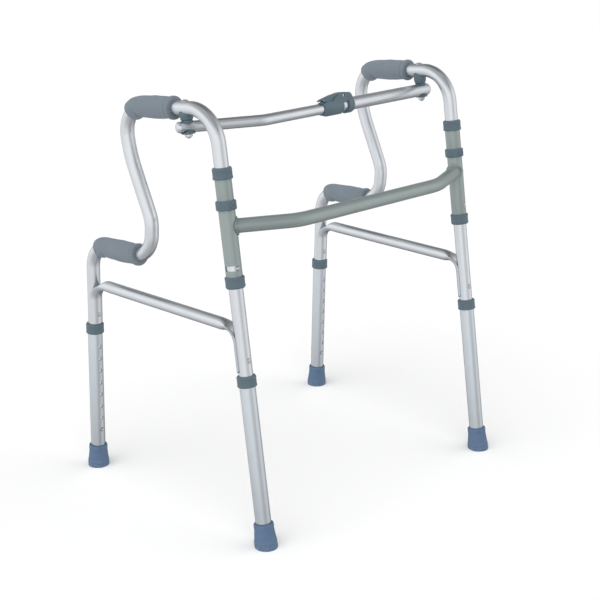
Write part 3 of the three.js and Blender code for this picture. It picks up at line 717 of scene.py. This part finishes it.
def build_side_frame(name, side):
    node = f"side_frame_{name}"
    bolt_hole = moved(rod(BOLT_RADIUS + 0.4, -16, 16, 24), shift(0, BOLT_DEPTH, HANDLE_OVER_BOLT))
    pin_hole = moved(cross_rod(3.6, 5, 18, SLOT_CENTRE), pin_place(side))
    front_button = cross_rod(HOLE_RADIUS, 5, 18, BUTTON_HEIGHT)
    rear_button = moved(cross_rod(HOLE_RADIUS, -18, -5, BUTTON_HEIGHT), REAR_LEG)
    tube = cut(FRAME_ROUTE.pipe(TUBE_RADIUS, TUBE_BORE), bolt_hole, pin_hole, front_button, rear_button)
    show(node, tube, side_place(side), "aluminium", FRAME_ROUTE)


# ---- Side braces ----

SECTION_COUNT = 64
SADDLE_WRAP = math.radians(80)
TIP_WRAP = 0.72                        # of the full wrap, at the very end of a saddle
SADDLE_TIP = 7                         # length of a saddle's rounded end
REAR_FLAT_MARGIN = 30                  # from the corner to where the rear saddle is fully pressed
FRONT_FLAT_MARGIN = 22
REAR_PRESS_MARGIN = 4                  # from the bend to where the tube starts to flatten
FRONT_PRESS_MARGIN = 48
FRONT_PRESS_LENGTH = 44


def brace_section(flattening, leg_distance, wrap):
    """Round tube section pressed by flattening, from 0 to 1, into a shell that hugs the leg above it."""
    half = SECTION_COUNT // 2
    swing = np.linspace(wrap, -wrap, half)
    outside = np.column_stack([SADDLE_RADIUS * np.sin(swing), SADDLE_RADIUS * np.cos(swing) - leg_distance])
    inside = np.column_stack([-SADDLE_BORE * np.sin(swing), SADDLE_BORE * np.cos(swing) - leg_distance])
    shell = np.concatenate([outside, inside])
    section = circle(BRACE_RADIUS, SECTION_COUNT) * (1 - flattening) + shell * flattening
    return section * (1, -1)


def build_brace(name, side):
    (rear_top, rear_radius), (front_top, front_radius) = side_corner(BRACE_REAR), side_corner(BRACE_FRONT)
    rear_local = REAR_LEG.inverted() @ rear_top
    rear_end = REAR_LEG @ Vector((0, rear_local.y, REAR_SADDLE_END))
    front_end = Vector((0, front_top.y, FRONT_SADDLE_END))
    corners = [(rear_end, 0), (rear_top, rear_radius), (front_top, front_radius), (front_end, 0)]
    route = Route(corners, across=ACROSS)
    total = route.distances[-1]
    rear_flat = (rear_top - rear_end).length - REAR_FLAT_MARGIN
    rear_start = route.bend_ends[0] + REAR_PRESS_MARGIN
    front_straight = (front_top - front_end).length - FRONT_FLAT_MARGIN
    front_start = total - front_straight - FRONT_PRESS_MARGIN
    stops = np.unique(np.concatenate([
        route.distances,
        np.linspace(0, SADDLE_TIP, 8),
        np.linspace(SADDLE_TIP, rear_start + 4, 30),
        np.linspace(front_start - 4, total - SADDLE_TIP, 30),
        np.linspace(total - SADDLE_TIP, total, 8),
    ]))
    rings = []
    for distance in stops:
        point, tangent = route.at(distance)
        at_rear = distance < total / 2
        if at_rear:
            press = np.clip((rear_start - distance) / (rear_start - rear_flat), 0, 1)
        else:
            press = np.clip((distance - front_start) / FRONT_PRESS_LENGTH, 0, 1)
        press = press * press * (3 - 2 * press)
        into_tip = min(min(distance, total - distance) / SADDLE_TIP, 1)
        wrap = SADDLE_WRAP * (TIP_WRAP + (1 - TIP_WRAP) * math.sqrt(1 - (1 - into_tip) ** 2))
        leg_distance = abs(rear_local.y) if at_rear else front_top.y
        rings.append(route.ring(point, tangent, brace_section(press, leg_distance, wrap)))
    mesh = loft(rings, [route.points[0], route.points[-1]])
    show(f"side_brace_{name}", mesh, side_place(side), "aluminium", route)


# ---- Rivets ----


def rivet(shank):
    """Blind rivet along z: mandrel dimple in a domed head at z = 0 and below, shop head at the far end."""
    head = 4.9
    profile = soften([
        (0, -0.7), (1.1, -0.7), (1.3, -1.7), (2.6, -1.6), (head * 0.86, -0.9), (head, 0), (2.4, 0),
        (2.4, shank), (4.4, shank), (3.9, shank + 1.4), (2.2, shank + 2), (0, shank + 2),
    ], 0.5, 3, closed=False)
    return turned(profile, 40)


def build_rivets(name, side):
    shank = SADDLE_RADIUS + TUBE_RADIUS + 1
    lying = turn(-math.pi / 2, "X")
    place = side_place(side)
    front = moved(rivet(shank), shift(0, -TUBE_RADIUS - 0.1, FRONT_RIVET) @ lying)
    show(f"brace_rivet_front_{name}", front, place, "steel")
    rear = moved(rivet(shank), shift(0, -SADDLE_RADIUS - 0.1, REAR_RIVET) @ lying)
    show(f"brace_rivet_rear_{name}", rear, place @ REAR_LEG, "steel")


# ---- Legs ----


def leg_collar():
    half = COLLAR_HEIGHT / 2
    bore = EXTENSION_RADIUS + 0.1
    return collar([
        (bore, -half), (16.6, -half), (17.5, -half + 1.2), (17.5, -half + 3.4), (17.1, -half + 3.9),
        (17.1, half - 4.6), (17.5, half - 4.1), (17.4, half - 2.6), (15.6, half), (12.9, half),
        (12.9, half - 2.4), (bore, half - 2.4),
    ])


def extension(top, hole_side):
    tube = wall(EXTENSION_BORE, EXTENSION_RADIUS, 9, top, 0.3, 64)
    rim = HOLE_RADIUS + 0.9
    lying = turn(-hole_side * math.pi / 2, "X")
    holes = []
    for i in range(HOLE_COUNT):
        countersunk = turned([
            (0, 9), (HOLE_RADIUS, 9), (HOLE_RADIUS, EXTENSION_RADIUS - 0.5), (rim, EXTENSION_RADIUS + 0.4),
            (rim, 18), (0, 18),
        ], 32)
        holes.append(moved(countersunk, shift(0, 0, BUTTON_HEIGHT + i * HOLE_PITCH) @ lying))
    return cut(tube, *holes)


def rubber_tip():
    bore = EXTENSION_RADIUS + 0.1
    return turned(soften([
        (0, -6), (20.4, -6), (21, -4), (21, 5.5), (20.5, 6.1), (20.5, 7.4), (20.9, 8), (20.8, 12),
        (20, 14.5), (18.5, 28), (17.9, 36), (18.3, 37), (18.2, 43), (17.2, TIP_HEIGHT), (bore, TIP_HEIGHT),
        (bore, 8.6), (0, 8.6),
    ], 0.7, 3, closed=False), 80)


def flat_at_floor(mesh, place):
    """Cuts away what is under the floor and closes the sole."""
    work = bmesh.new()
    work.from_mesh(mesh)
    inverse = place.inverted()
    point = inverse @ Vector((0, 0, 0))
    normal = (inverse.to_3x3() @ Vector((0, 0, 1))).normalized()
    sliced = bmesh.ops.bisect_plane(
        work, geom=[*work.verts, *work.edges, *work.faces], plane_co=point, plane_no=normal, clear_inner=True)
    rim = [item for item in sliced["geom_cut"] if isinstance(item, bmesh.types.BMEdge)]
    bmesh.ops.contextual_create(work, geom=rim)
    bmesh.ops.recalc_face_normals(work, faces=work.faces)
    work.to_mesh(mesh)
    work.free()
    return mesh


def snap_button():
    profile = soften([(0, 7.6), (4.7, 7.6), (4.7, 9), (3.2, 9), (3.2, EXTENSION_RADIUS + 1.2),
                      (2.4, EXTENSION_RADIUS + 2.3), (0, EXTENSION_RADIUS + 2.5)], 0.9, 4, closed=False)
    return moved(turned(profile, 40), turn(-math.pi / 2, "X"))


def build_leg(place_name, name, place, top, hole_side):
    end = f"{place_name}_{name}"
    facing = turn(0 if hole_side > 0 else math.pi, "Z")
    show(f"leg_extension_{end}", extension(top, hole_side), place, "extension")
    show(f"leg_collar_{end}", leg_collar(), place @ shift(0, 0, top + 3 - COLLAR_HEIGHT / 2), "plastic")
    show(f"rubber_tip_{end}", flat_at_floor(rubber_tip(), place), place, "rubber")
    show(f"snap_button_{end}", snap_button(), place @ shift(0, 0, BUTTON_HEIGHT) @ facing, "steel")


def build_legs(name, side):
    place = side_place(side)
    build_leg("front", name, place, FRONT_EXTENSION_TOP, 1)
    build_leg("rear", name, place @ REAR_LEG, REAR_EXTENSION_TOP, -1)


# ---- Foam grips ----

GRIP_SEGMENTS = 72
GRIP_ROWS = 110
GRIP_BORE = 12.75


def grip_radius(t, down):
    """Foam radius at t along the grip; down is 1 underneath and -1 on top."""
    roll = 1.7 * math.exp(-((t - 0.035) / 0.035) ** 4)
    groove = -1.5 * math.exp(-((t - 0.088) / 0.013) ** 2)
    barrel = 18.9 + 1.4 * math.exp(-((t - 0.42) / 0.22) ** 2)
    notch = -3.1 * math.exp(-((t - 0.8) / 0.026) ** 2) * np.clip(down + 0.1, 0, 1) ** 1.3
    bulb = 0.5 * math.exp(-((t - 0.92) / 0.07) ** 2) * (0.8 + 1.4 * np.clip(down, 0, 1) ** 2)
    radius = barrel + roll + groove + notch + bulb
    mouth = math.sqrt(max(0.0, 1 - (1 - min(t / 0.025, 1)) ** 2))
    tail = math.sqrt(max(0.0, 1 - (max(t - 0.972, 0) / 0.028) ** 2))
    return GRIP_BORE + (radius - GRIP_BORE) * (0.62 + 0.38 * mouth) * (0.4 + 0.6 * tail)


def grip(start):
    """Foam sleeve on the frame tube, pressed in slightly where fingers close."""
    angles = np.linspace(0, 2 * math.pi, GRIP_SEGMENTS, endpoint=False)
    down = np.sin(angles)
    rings = []
    steps = np.sin(np.linspace(-math.pi / 2, math.pi / 2, GRIP_ROWS)) * 0.5 + 0.5
    for t in steps:
        dents = 0.16 * np.sin(3 * angles + 7 * t) + 0.12 * np.sin(5 * angles - 23 * t)
        radius = grip_radius(t, down) + dents + 0.1 * math.sin(31 * t)
        section = np.column_stack([radius * np.cos(angles), radius * np.sin(angles)])
        rings.append(FRAME_ROUTE.ring(*FRAME_ROUTE.at(start + t * GRIP_LENGTH), section))
    bore = circle(GRIP_BORE, GRIP_SEGMENTS)
    for t in steps[::-4]:
        rings.append(FRAME_ROUTE.ring(*FRAME_ROUTE.at(start + t * GRIP_LENGTH), bore))
    return loft(rings)


def build_grips(name, side):
    bends = FRAME_ROUTE.bend_ends
    starts = {"high": bends[0] + HIGH_GRIP_START, "low": bends[4] + LOW_GRIP_START}
    for level, start in starts.items():
        piece = show(f"{level}_grip_{name}", grip(start), side_place(side), "foam", FRAME_ROUTE)


# ---- Hinge sleeves, collars and the cross tube ----


def sleeve_place(side):
    return LEANING @ shift(side * HINGE_HALF_WIDTH, 0, 0)


def sleeve(low, high):
    return wall(SLEEVE_BORE, SLEEVE_RADIUS, low, high, 0.4, 72)


def slot_cutter(side):
    """Round-ended slot that follows the sleeve's wall."""
    ahead = -90
    ends = [ahead + side * angle for angle in (PIN_ANGLE - SLOT_MARGIN, PIN_ANGLE + FOLD_RANGE + SLOT_MARGIN)]
    half = SLOT_HEIGHT / 2
    cap = math.degrees(half / SLEEVE_RADIUS)
    low, high = min(ends) + cap, max(ends) - cap
    outline = []
    for start, end, height, first_swing in ((low, high, -half, -80), (high, low, half, 100)):
        outline += [(math.radians(angle), height) for angle in np.linspace(start, end, 24)]
        for swing in np.radians(np.linspace(first_swing, first_swing + 160, 12)):
            outline.append((math.radians(end + cap * math.cos(swing)), half * math.sin(swing)))
    middle = math.radians((low + high) / 2)
    rings, poles = [], []
    for radius in (SLEEVE_BORE - 4, SLEEVE_RADIUS + 3):
        rings.append([(radius * math.cos(a), radius * math.sin(a), SLOT_CENTRE + z) for a, z in outline])
        poles.append((radius * math.cos(middle), radius * math.sin(middle), SLOT_CENTRE))
    return loft(rings, poles)


def cap_collar():
    half = COLLAR_HEIGHT / 2
    bore = SLEEVE_RADIUS + 0.1
    return collar([
        (bore, -half), (16.7, -half), (17.5, -half + 1.3), (17.5, -half + 4.2), (17.05, -half + 4.8),
        (17.05, half - 5.2), (17.5, half - 4.6), (17.4, half - 2.8), (15.7, half), (12.95, half),
        (12.95, half - 2.4), (bore, half - 2.4),
    ])


def grip_notches(count, radius, low, high, depth=0.7, width=1.5):
    """Upright grooves cut round a collar."""
    tools = []
    for i in range(count):
        groove = block((radius - depth, radius + 3), (-width / 2, width / 2), (low, high), 0.3)
        tools.append(moved(groove, turn(2 * math.pi * i / count, "Z")))
    return tools


def mid_collar():
    bore = SLEEVE_RADIUS + 0.1
    band = turned(soften([(bore, -8), (17, -8), (18, -6.6), (18, 6.6), (17, 8), (bore, 8)], 0.7, 4), 96)
    boss = turned(soften([
        (0, 14.9), (5.4, 14.9), (5.4, 19), (4.8, 19.6), (2.6, 19.6), (2.3, 18.2), (0, 18.2),
    ], 0.5, 3, closed=False), 40)
    return join(band, moved(boss, turn(math.pi / 2, "X")))


def cross_route():
    def end(side, corner):
        return leaning_point(side * corner[0], corner[1], corner[2])
    return Route([
        (end(-1, CROSS_END), 0),
        (end(-1, CROSS_CORNER), CROSS_BEND),
        (end(1, CROSS_CORNER), CROSS_BEND),
        (end(1, CROSS_END), 0),
    ])


def weld_bead(route, side, size=4.2):
    """Rippled fillet where the cross tube meets a sleeve."""
    end = 0 if side < 0 else -1
    point, tangent = route.points[end], route.tangents[end] * -side
    up = np.cross(tangent, route.across)
    sleeve_axis = np.array([side * HINGE_HALF_WIDTH, 0])
    rings = []
    for angle in np.linspace(0, 2 * math.pi, 180, endpoint=False):
        outward = math.cos(angle) * route.across + math.sin(angle) * up
        start = point + outward * TUBE_RADIUS
        offset = start[:2] - sleeve_axis
        a = tangent[:2] @ tangent[:2]
        b = offset @ tangent[:2]
        c = offset @ offset - SLEEVE_RADIUS ** 2
        seat = start + tangent * (-b + math.sqrt(max(b * b - a * c, 0.0))) / a
        off_sleeve = np.array([*(seat[:2] - sleeve_axis), 0])
        off_sleeve /= np.linalg.norm(off_sleeve)
        ripple = 1 + 0.05 * math.sin(40 * angle)
        spokes = []
        for swing in np.linspace(0, 2 * math.pi, 14, endpoint=False):
            reach = size * ripple * (0.75 + 0.25 * math.cos(2 * swing))
            spokes.append(seat + reach * (math.cos(swing) * outward + math.sin(swing) * off_sleeve))
        rings.append(spokes)
    return loft(rings)


def build_front():
    route = cross_route()
    copes = [
        moved(rod(SLEEVE_RADIUS - 0.3, 400, 800, 72), shift(side * HINGE_HALF_WIDTH, 0, 0))
        for side in SIDES.values()
    ]
    tube = cut(route.pipe(TUBE_RADIUS, TUBE_BORE, 64), *copes)
    show("front_cross_tube", tube, LEANING, "paint", route)
    for name, side in SIDES.items():
        place = sleeve_place(side)
        lower = cut(sleeve(BOTTOM_COLLAR - 7, MID_COLLAR), slot_cutter(side))
        show(f"lower_sleeve_{name}", lower, place, "paint")
        show(f"upper_sleeve_{name}", sleeve(MID_COLLAR, TOP_COLLAR + 7), place, "paint")
        upside_down = shift(0, 0, BOTTOM_COLLAR) @ turn(math.pi, "X")
        show(f"bottom_collar_{name}", cap_collar(), place @ upside_down, "plastic")
        top = cut(cap_collar(), *grip_notches(24, 17.5, -3.2, 3.2))
        show(f"top_collar_{name}", top, place @ shift(0, 0, TOP_COLLAR), "plastic")
        show(f"mid_collar_{name}", mid_collar(), place @ shift(0, 0, MID_COLLAR), "plastic")
        bead = weld_bead(route, side)
        show("front_cross_tube", bead, LEANING, "paint", name=f"cross_tube_weld_{name}")


def build_fold_pin(name, side):
    profile = soften([(0, 7.6), (3.5, 7.6), (3.5, 14.9), (2.9, 15.7), (0, 15.9)], 0.6, 3, closed=False)
    pin = moved(turned(profile, 40), pin_place(side) @ shift(0, 0, SLOT_CENTRE) @ turn(-math.pi / 2, "X"))
    show(f"fold_pin_{name}", pin, side_place(side), "steel")


# ---- Pivots ----

WASHER_RADIUS = 12
WASHER_NECK = 9.8
WASHER_WEB = 1.5
NUT_FLATS = 12.4
PIVOTS = {
    "left": {"bar": OUTER_RADIUS, "clearance": 0.15, "level": BAR_LEVEL},
    "right": {"bar": INNER_RADIUS, "clearance": 0.5, "level": CRANK_LEVEL},
}


def headed_bolt(low):
    seat = HANDLE_OVER_BOLT + TUBE_RADIUS - 1.1
    shank_and_head = soften([
        (0, low), (BOLT_RADIUS, low), (BOLT_RADIUS, seat), (6.4, seat), (6.6, seat + 1.1),
        (5.4, seat + 2.4), (3.2, seat + 3.1), (0, seat + 3.3),
    ], 0.7, 4, closed=False)
    return turned(shank_and_head, 48)


def spacer(low):
    top = HANDLE_OVER_BOLT - 4
    bore = BOLT_RADIUS + 0.3
    body = turned(soften([
        (bore, low), (WASHER_RADIUS - 2, low), (WASHER_RADIUS - 1.2, low + 1), (WASHER_RADIUS + 0.2, low + 7),
        (WASHER_RADIUS + 0.4, top), (bore, top),
    ], 0.8, 4), 72)
    body = moved(body, shift(0, BOLT_DEPTH, 0))
    return moved(cut(body, FRAME_ROUTE.bar(TUBE_RADIUS + 0.1)), shift(0, -BOLT_DEPTH, 0))


def along_bar(mesh):
    return moved(mesh, turn(math.pi / 2, "Y"))


def saddle_washer(bar_radius, clearance, brim):
    """Cup that hugs a bar along x, widening to a brim on the side away from it."""
    foot, top = bar_radius * 0.3, bar_radius + clearance + WASHER_WEB
    body = turned(soften([
        (BOLT_RADIUS + 0.3, foot), (WASHER_NECK - 0.6, foot), (WASHER_NECK, top - 4), (brim, top - 3.2),
        (brim, top - 0.8), (brim - 1, top), (BOLT_RADIUS + 0.3, top),
    ], 0.6, 4), 72)
    return cut(body, along_bar(rod(bar_radius + clearance, -40, 40, 72)))


def lock_nut():
    """Hexagon nut with chamfered corners and a domed locking crown, standing on z = 0."""
    segments = 96
    angles = np.linspace(0, 2 * math.pi, segments, endpoint=False)
    hexagon = NUT_FLATS / 2 / np.cos((angles + math.pi / 6) % (math.pi / 3) - math.pi / 6)
    levels = [(6.1, 0), (6.9, 0.8), (7.3, 1.4), (7.3, 3.4), (6.9, 4), (6.1, 4.8)]
    levels += [(radius, height) for radius, height in soften(
        [(5.2, 4.8), (4.7, 5), (4.5, 6.2), (3.2, 7.3), (1.2, 7.6)], 0.6, 3, closed=False)]
    rings = []
    for cone, height in levels:
        radii = np.minimum(hexagon, cone)
        flat = circle(1, segments) * radii[:, None]
        rings.append(np.column_stack([flat, np.full(segments, height)]))
    return loft(rings, [(0, 0, 0), (0, 0, 7.65)])


# ---- Top bar ----

left_bolt = Vector((
    HINGE_HALF_WIDTH + BOLT_DEPTH * math.sin(TOE_OUT),
    BOLT_DEPTH * math.cos(TOE_OUT),
    BAR_LEVEL,
))
right_bolt = Vector((-left_bolt.x, left_bolt.y, CRANK_LEVEL))
crank = Vector((right_bolt.x + CRANK_LENGTH, right_bolt.y - CRANK_SETBACK, BAR_LEVEL))
bar_yaw = math.atan2(left_bolt.y - crank.y, left_bolt.x - crank.x)
IN_BAR = shift(*left_bolt) @ turn(bar_yaw, "Z")
BAR = LEANING @ IN_BAR
crank_in_bar = IN_BAR.inverted() @ crank
right_bolt_in_bar = IN_BAR.inverted() @ right_bolt
cranked_way = (right_bolt_in_bar - crank_in_bar).normalized()
CRANKED_END = shift(*right_bolt_in_bar) @ turn(math.atan2(cranked_way.y, cranked_way.x), "Z")


def closed_tube(route, radius, bore):
    """Tube along the route, whose start is closed and pressed into a blunt round end."""
    segments = 64
    start, way = route.points[0], -route.tangents[0]
    depth = END_DEPTH * radius
    inside = route.rings(circle(bore, segments))
    outside = route.rings(circle(radius, segments))[::-1]
    dome = []
    for angle in np.linspace(0.12, math.radians(84), 12):
        section = circle(radius * math.cos(angle) ** 0.75, segments)
        dome.append(route.ring(start + way * depth * math.sin(angle), -way, section))
    return loft(inside + outside + dome, [start, start + way * depth])


def outer_tube(route):
    return cut(closed_tube(route, OUTER_RADIUS, OUTER_BORE), rod(BOLT_RADIUS + 0.3, -20, 20, 24))


def inner_tube(route):
    hole = moved(rod(BOLT_RADIUS + 0.3, -20, 20, 24), shift(*right_bolt_in_bar))
    return cut(closed_tube(route, INNER_RADIUS, INNER_BORE), hole)


def guide_bush():
    return along_bar(wall(INNER_RADIUS + 0.2, OUTER_BORE - 0.2, 0, 20, 0.3, 64))


def catch_housing():
    """Sleeve, gap and ring on the outer tube's mouth, with ears for the lever and a hump behind it."""
    bore = OUTER_RADIUS + 0.1
    lip = INNER_RADIUS + 0.2
    sleeve_ = along_bar(turned(soften([
        (lip, -6), (lip + 1.9, -6), (13.2, 0), (15, 5), (15.4, 9), (15.4, 45), (14.6, 46), (bore, 46),
        (bore, -0.4), (lip, -0.4),
    ], 0.7, 4), 96))
    ring = along_bar(turned(soften([
        (bore, 0), (15.7, 0), (16.2, 0.8), (16.2, 14), (14.7, 16), (bore, 16),
    ], 0.6, 4), 96))
    ring = moved(ring, shift(CATCH_RING_START, 0, 0))
    bridge = block((42, 65), (-9, 9), (9, 15))
    hump = slab([
        (CATCH_RING_START, 8), (CATCH_RING_START, 23.6), (68, 23.2), (73, 20), (76.2, 14), (76.2, 8),
    ], 12, 2.2, 2.2, 5)
    ears = []
    for side in (-1, 1):
        ear = slab([(16, 6), (24, 16.4), (38, 22.2), (62, 22.6), (62, 6)], 1.5, 1.6, 0.7)
        ears.append(moved(ear, shift(0, side * 10.7, 0)))
    body = join(sleeve_, ring, bridge, hump, *ears)
    clearance = along_bar(rod(bore, -0.4, 200, 96))
    pin_hole = moved(cross_rod(3.1, -30, 30, CATCH_PIN_HEIGHT), shift(CATCH_PIN_X, 0, 0))
    return cut(body, clearance, pin_hole)


def catch_lever():
    """Ramped thumb lever with cross ribs, lying on the sleeve between the ears."""
    plate = slab([
        (-5, 8), (-5, 15.6), (0, 16.9), (24, 21.6), (48, 24.4), (58.5, 24.4), (59.6, 22), (59.6, 8),
    ], 8.9, 1.3, 1.3)
    first_rib, ramp_height, ramp_slope = 2, 17.6, 0.196
    ribs = [
        moved(cross_rod(0.7, -5.5, 5.5, ramp_height + ramp_slope * (x - first_rib), 16), shift(x, 0, 0))
        for x in (3, 6, 9, 12)
    ]
    pin_hole = moved(cross_rod(2.7, -30, 30, CATCH_PIN_HEIGHT), shift(CATCH_PIN_X, 0, 0))
    plate = join(plate, *ribs)
    return cut(plate, along_bar(rod(15.6, -30, 100, 96)), pin_hole)


def catch_pin():
    return cross_rod(2.5, -10.8, 10.8, 0, 40)


def build_bar():
    straight = Route([((BAR_END, 0, 0), 0), ((-OUTER_LENGTH, 0, 0), 0)], across=(0, 1, 0))
    show("bar_outer_tube", outer_tube(straight), BAR, "aluminium", straight)
    tip = right_bolt_in_bar + cranked_way * BAR_END
    route = Route([(tip, 0), (crank_in_bar, CRANK_BEND), ((-INNER_END, 0, 0), 0)])
    show("bar_inner_tube", inner_tube(route), BAR, "aluminium", route)
    show("bar_guide_bush", guide_bush(), BAR @ shift(-OUTER_LENGTH + 12, 0, 0), "plastic")
    mouth = BAR @ shift(-OUTER_LENGTH, 0, 0)
    show("bar_catch_housing", catch_housing(), mouth, "plastic")
    show("bar_catch_lever", catch_lever(), mouth, "plastic")
    show("bar_catch_pin", catch_pin(), mouth @ shift(CATCH_PIN_X, 0, CATCH_PIN_HEIGHT), "steel")


def build_pivot(name, side):
    pivot = PIVOTS[name]
    washer_top = pivot["bar"] + pivot["clearance"] + WASHER_WEB
    level = pivot["level"]
    stack = side_place(side) @ shift(0, BOLT_DEPTH, 0)
    foot = level - washer_top - 8 if side > 0 else level + washer_top + 0.2
    show(f"pivot_bolt_{name}", headed_bolt(foot), stack, "steel")
    show(f"pivot_spacer_{name}", spacer(level + washer_top + 0.1), stack, "plastic")
    turning = BAR if side > 0 else BAR @ CRANKED_END
    upside_down = turn(math.pi, "X")
    upper = saddle_washer(pivot["bar"], pivot["clearance"], WASHER_NECK + 0.5)
    lower = saddle_washer(pivot["bar"], pivot["clearance"], WASHER_RADIUS + 0.4)
    show(f"saddle_washer_upper_{name}", upper, turning, "plastic")
    show(f"saddle_washer_lower_{name}", lower, turning @ upside_down, "plastic")
    show(f"pivot_nut_{name}", lock_nut(), turning @ shift(0, 0, -washer_top) @ upside_down, "steel")
    if side < 0:
        stud = rod(BOLT_RADIUS, -washer_top - 6, washer_top, 40)
        show("pivot_stud_right", stud, turning, "steel")


# ---- Build ----

build_front()
build_bar()
for side_name, side_sign in SIDES.items():
    for build in (build_side_frame, build_brace, build_rivets, build_legs, build_grips, build_fold_pin,
                  build_pivot):
        build(side_name, side_sign)

# ---- Studio ----


def floor():
    mesh = bpy.data.meshes.new("floor")
    reach = 40
    corners = [(x * reach, y * reach, 0) for x, y in ((-1, -1), (1, -1), (1, 1), (-1, 1))]
    mesh.from_pydata(corners, [], [(0, 1, 2, 3)])
    plane = bpy.data.objects.new("floor", mesh)
    look = Look("studio_floor", Specular_IOR_Level=0.1)
    look.shader.inputs["Base Color"].default_value = (0.93, 0.93, 0.93, 1)
    look.shader.inputs["Roughness"].default_value = 0.9
    mesh.materials.append(look.material)
    bpy.context.scene.collection.objects.link(plane)
    plane.visible_glossy = False


def soft_sun(name, azimuth, elevation, strength):
    """Even light from a wide overhead source, left out of the tubes' reflections."""
    data = bpy.data.lights.new(name, "SUN")
    data.angle = math.radians(60)
    data.energy = strength
    light = bpy.data.objects.new(name, data)
    towards = away(math.radians(azimuth), math.radians(elevation))
    light.rotation_euler = towards.to_track_quat("Z", "Y").to_euler()
    light.visible_glossy = False
    bpy.context.scene.collection.objects.link(light)


def studio_world():
    """White room with darker panels, so that the satin tubes show soft streaks."""
    world = bpy.data.worlds.new("studio")
    world.use_nodes = True
    tree = world.node_tree
    tree.nodes.clear()
    node = functools.partial(add_node, tree)

    def ramp(source, stops):
        made = node("ValToRGB", {"Fac": source})
        made.color_ramp.interpolation = "EASE"
        elements = made.color_ramp.elements
        for position, _ in stops[1:-1]:
            elements.new(position)
        for element, (position, value) in zip(elements, stops):
            element.position = position
            element.color = (value, value, value, 1)
        return made.outputs["Color"]

    direction = node("TexCoord").outputs["Generated"]
    turned_room = {"Vector": direction, "Rotation": (0, 0, -CAMERA_AZIMUTH)}
    rotated = node("Mapping", turned_room, vector_type="POINT")
    x, y, z = node("SeparateXYZ", {"Vector": rotated.outputs["Vector"]}).outputs
    minus_y = node("Math", {0: y, 1: -1}, operation="MULTIPLY").outputs[0]
    bearing = node("Math", {0: x, 1: minus_y}, operation="ARCTAN2").outputs[0]
    around = node("MapRange", {"Value": bearing, "From Min": -math.pi, "From Max": math.pi})
    height = node("MapRange", {"Value": z, "From Min": -1})
    brightness = node("Mix", {
        "Factor": 1,
        "A": ramp(around.outputs["Result"], PANELS),
        "B": ramp(height.outputs["Result"], LEVELS),
    }, data_type="RGBA", blend_type="MULTIPLY").outputs["Result"]
    room = node("Background", {"Color": brightness, "Strength": ROOM_BRIGHTNESS})
    plain = node("Background", {"Color": (1, 1, 1, 1)})
    seen_directly = node("LightPath").outputs["Is Camera Ray"]
    choose = node("MixShader", {"Fac": seen_directly, 1: room.outputs[0], 2: plain.outputs[0]})
    node("OutputWorld", {"Surface": choose.outputs[0]})
    bpy.context.scene.world = world


# Brightness round the room from behind the object, through the viewer at 0.5, and back
PANELS = [
    (0.0, 0.3), (0.07, 0.4), (0.15, 0.95), (0.52, 1.0), (0.585, 0.68), (0.65, 0.64), (0.71, 0.9), (0.76, 1.0),
    (0.83, 0.68), (0.91, 0.4), (1.0, 0.3),
]
# Brightness from straight down, through the horizon at 0.5, to straight up
LEVELS = [
    (0.0, 0.42), (0.16, 0.5), (0.26, 0.7), (0.34, 0.8), (0.5, 0.93), (0.66, 1.0), (0.73, 0.88), (0.84, 0.5),
    (0.93, 0.4), (1.0, 0.45),
]
ROOM_BRIGHTNESS = 1.14

floor()
soft_sun("key", -75, 60, 1.55)
soft_sun("fill", 60, 50, 0.65)
studio_world()
bpy.context.scene.view_settings.view_transform = "Standard"
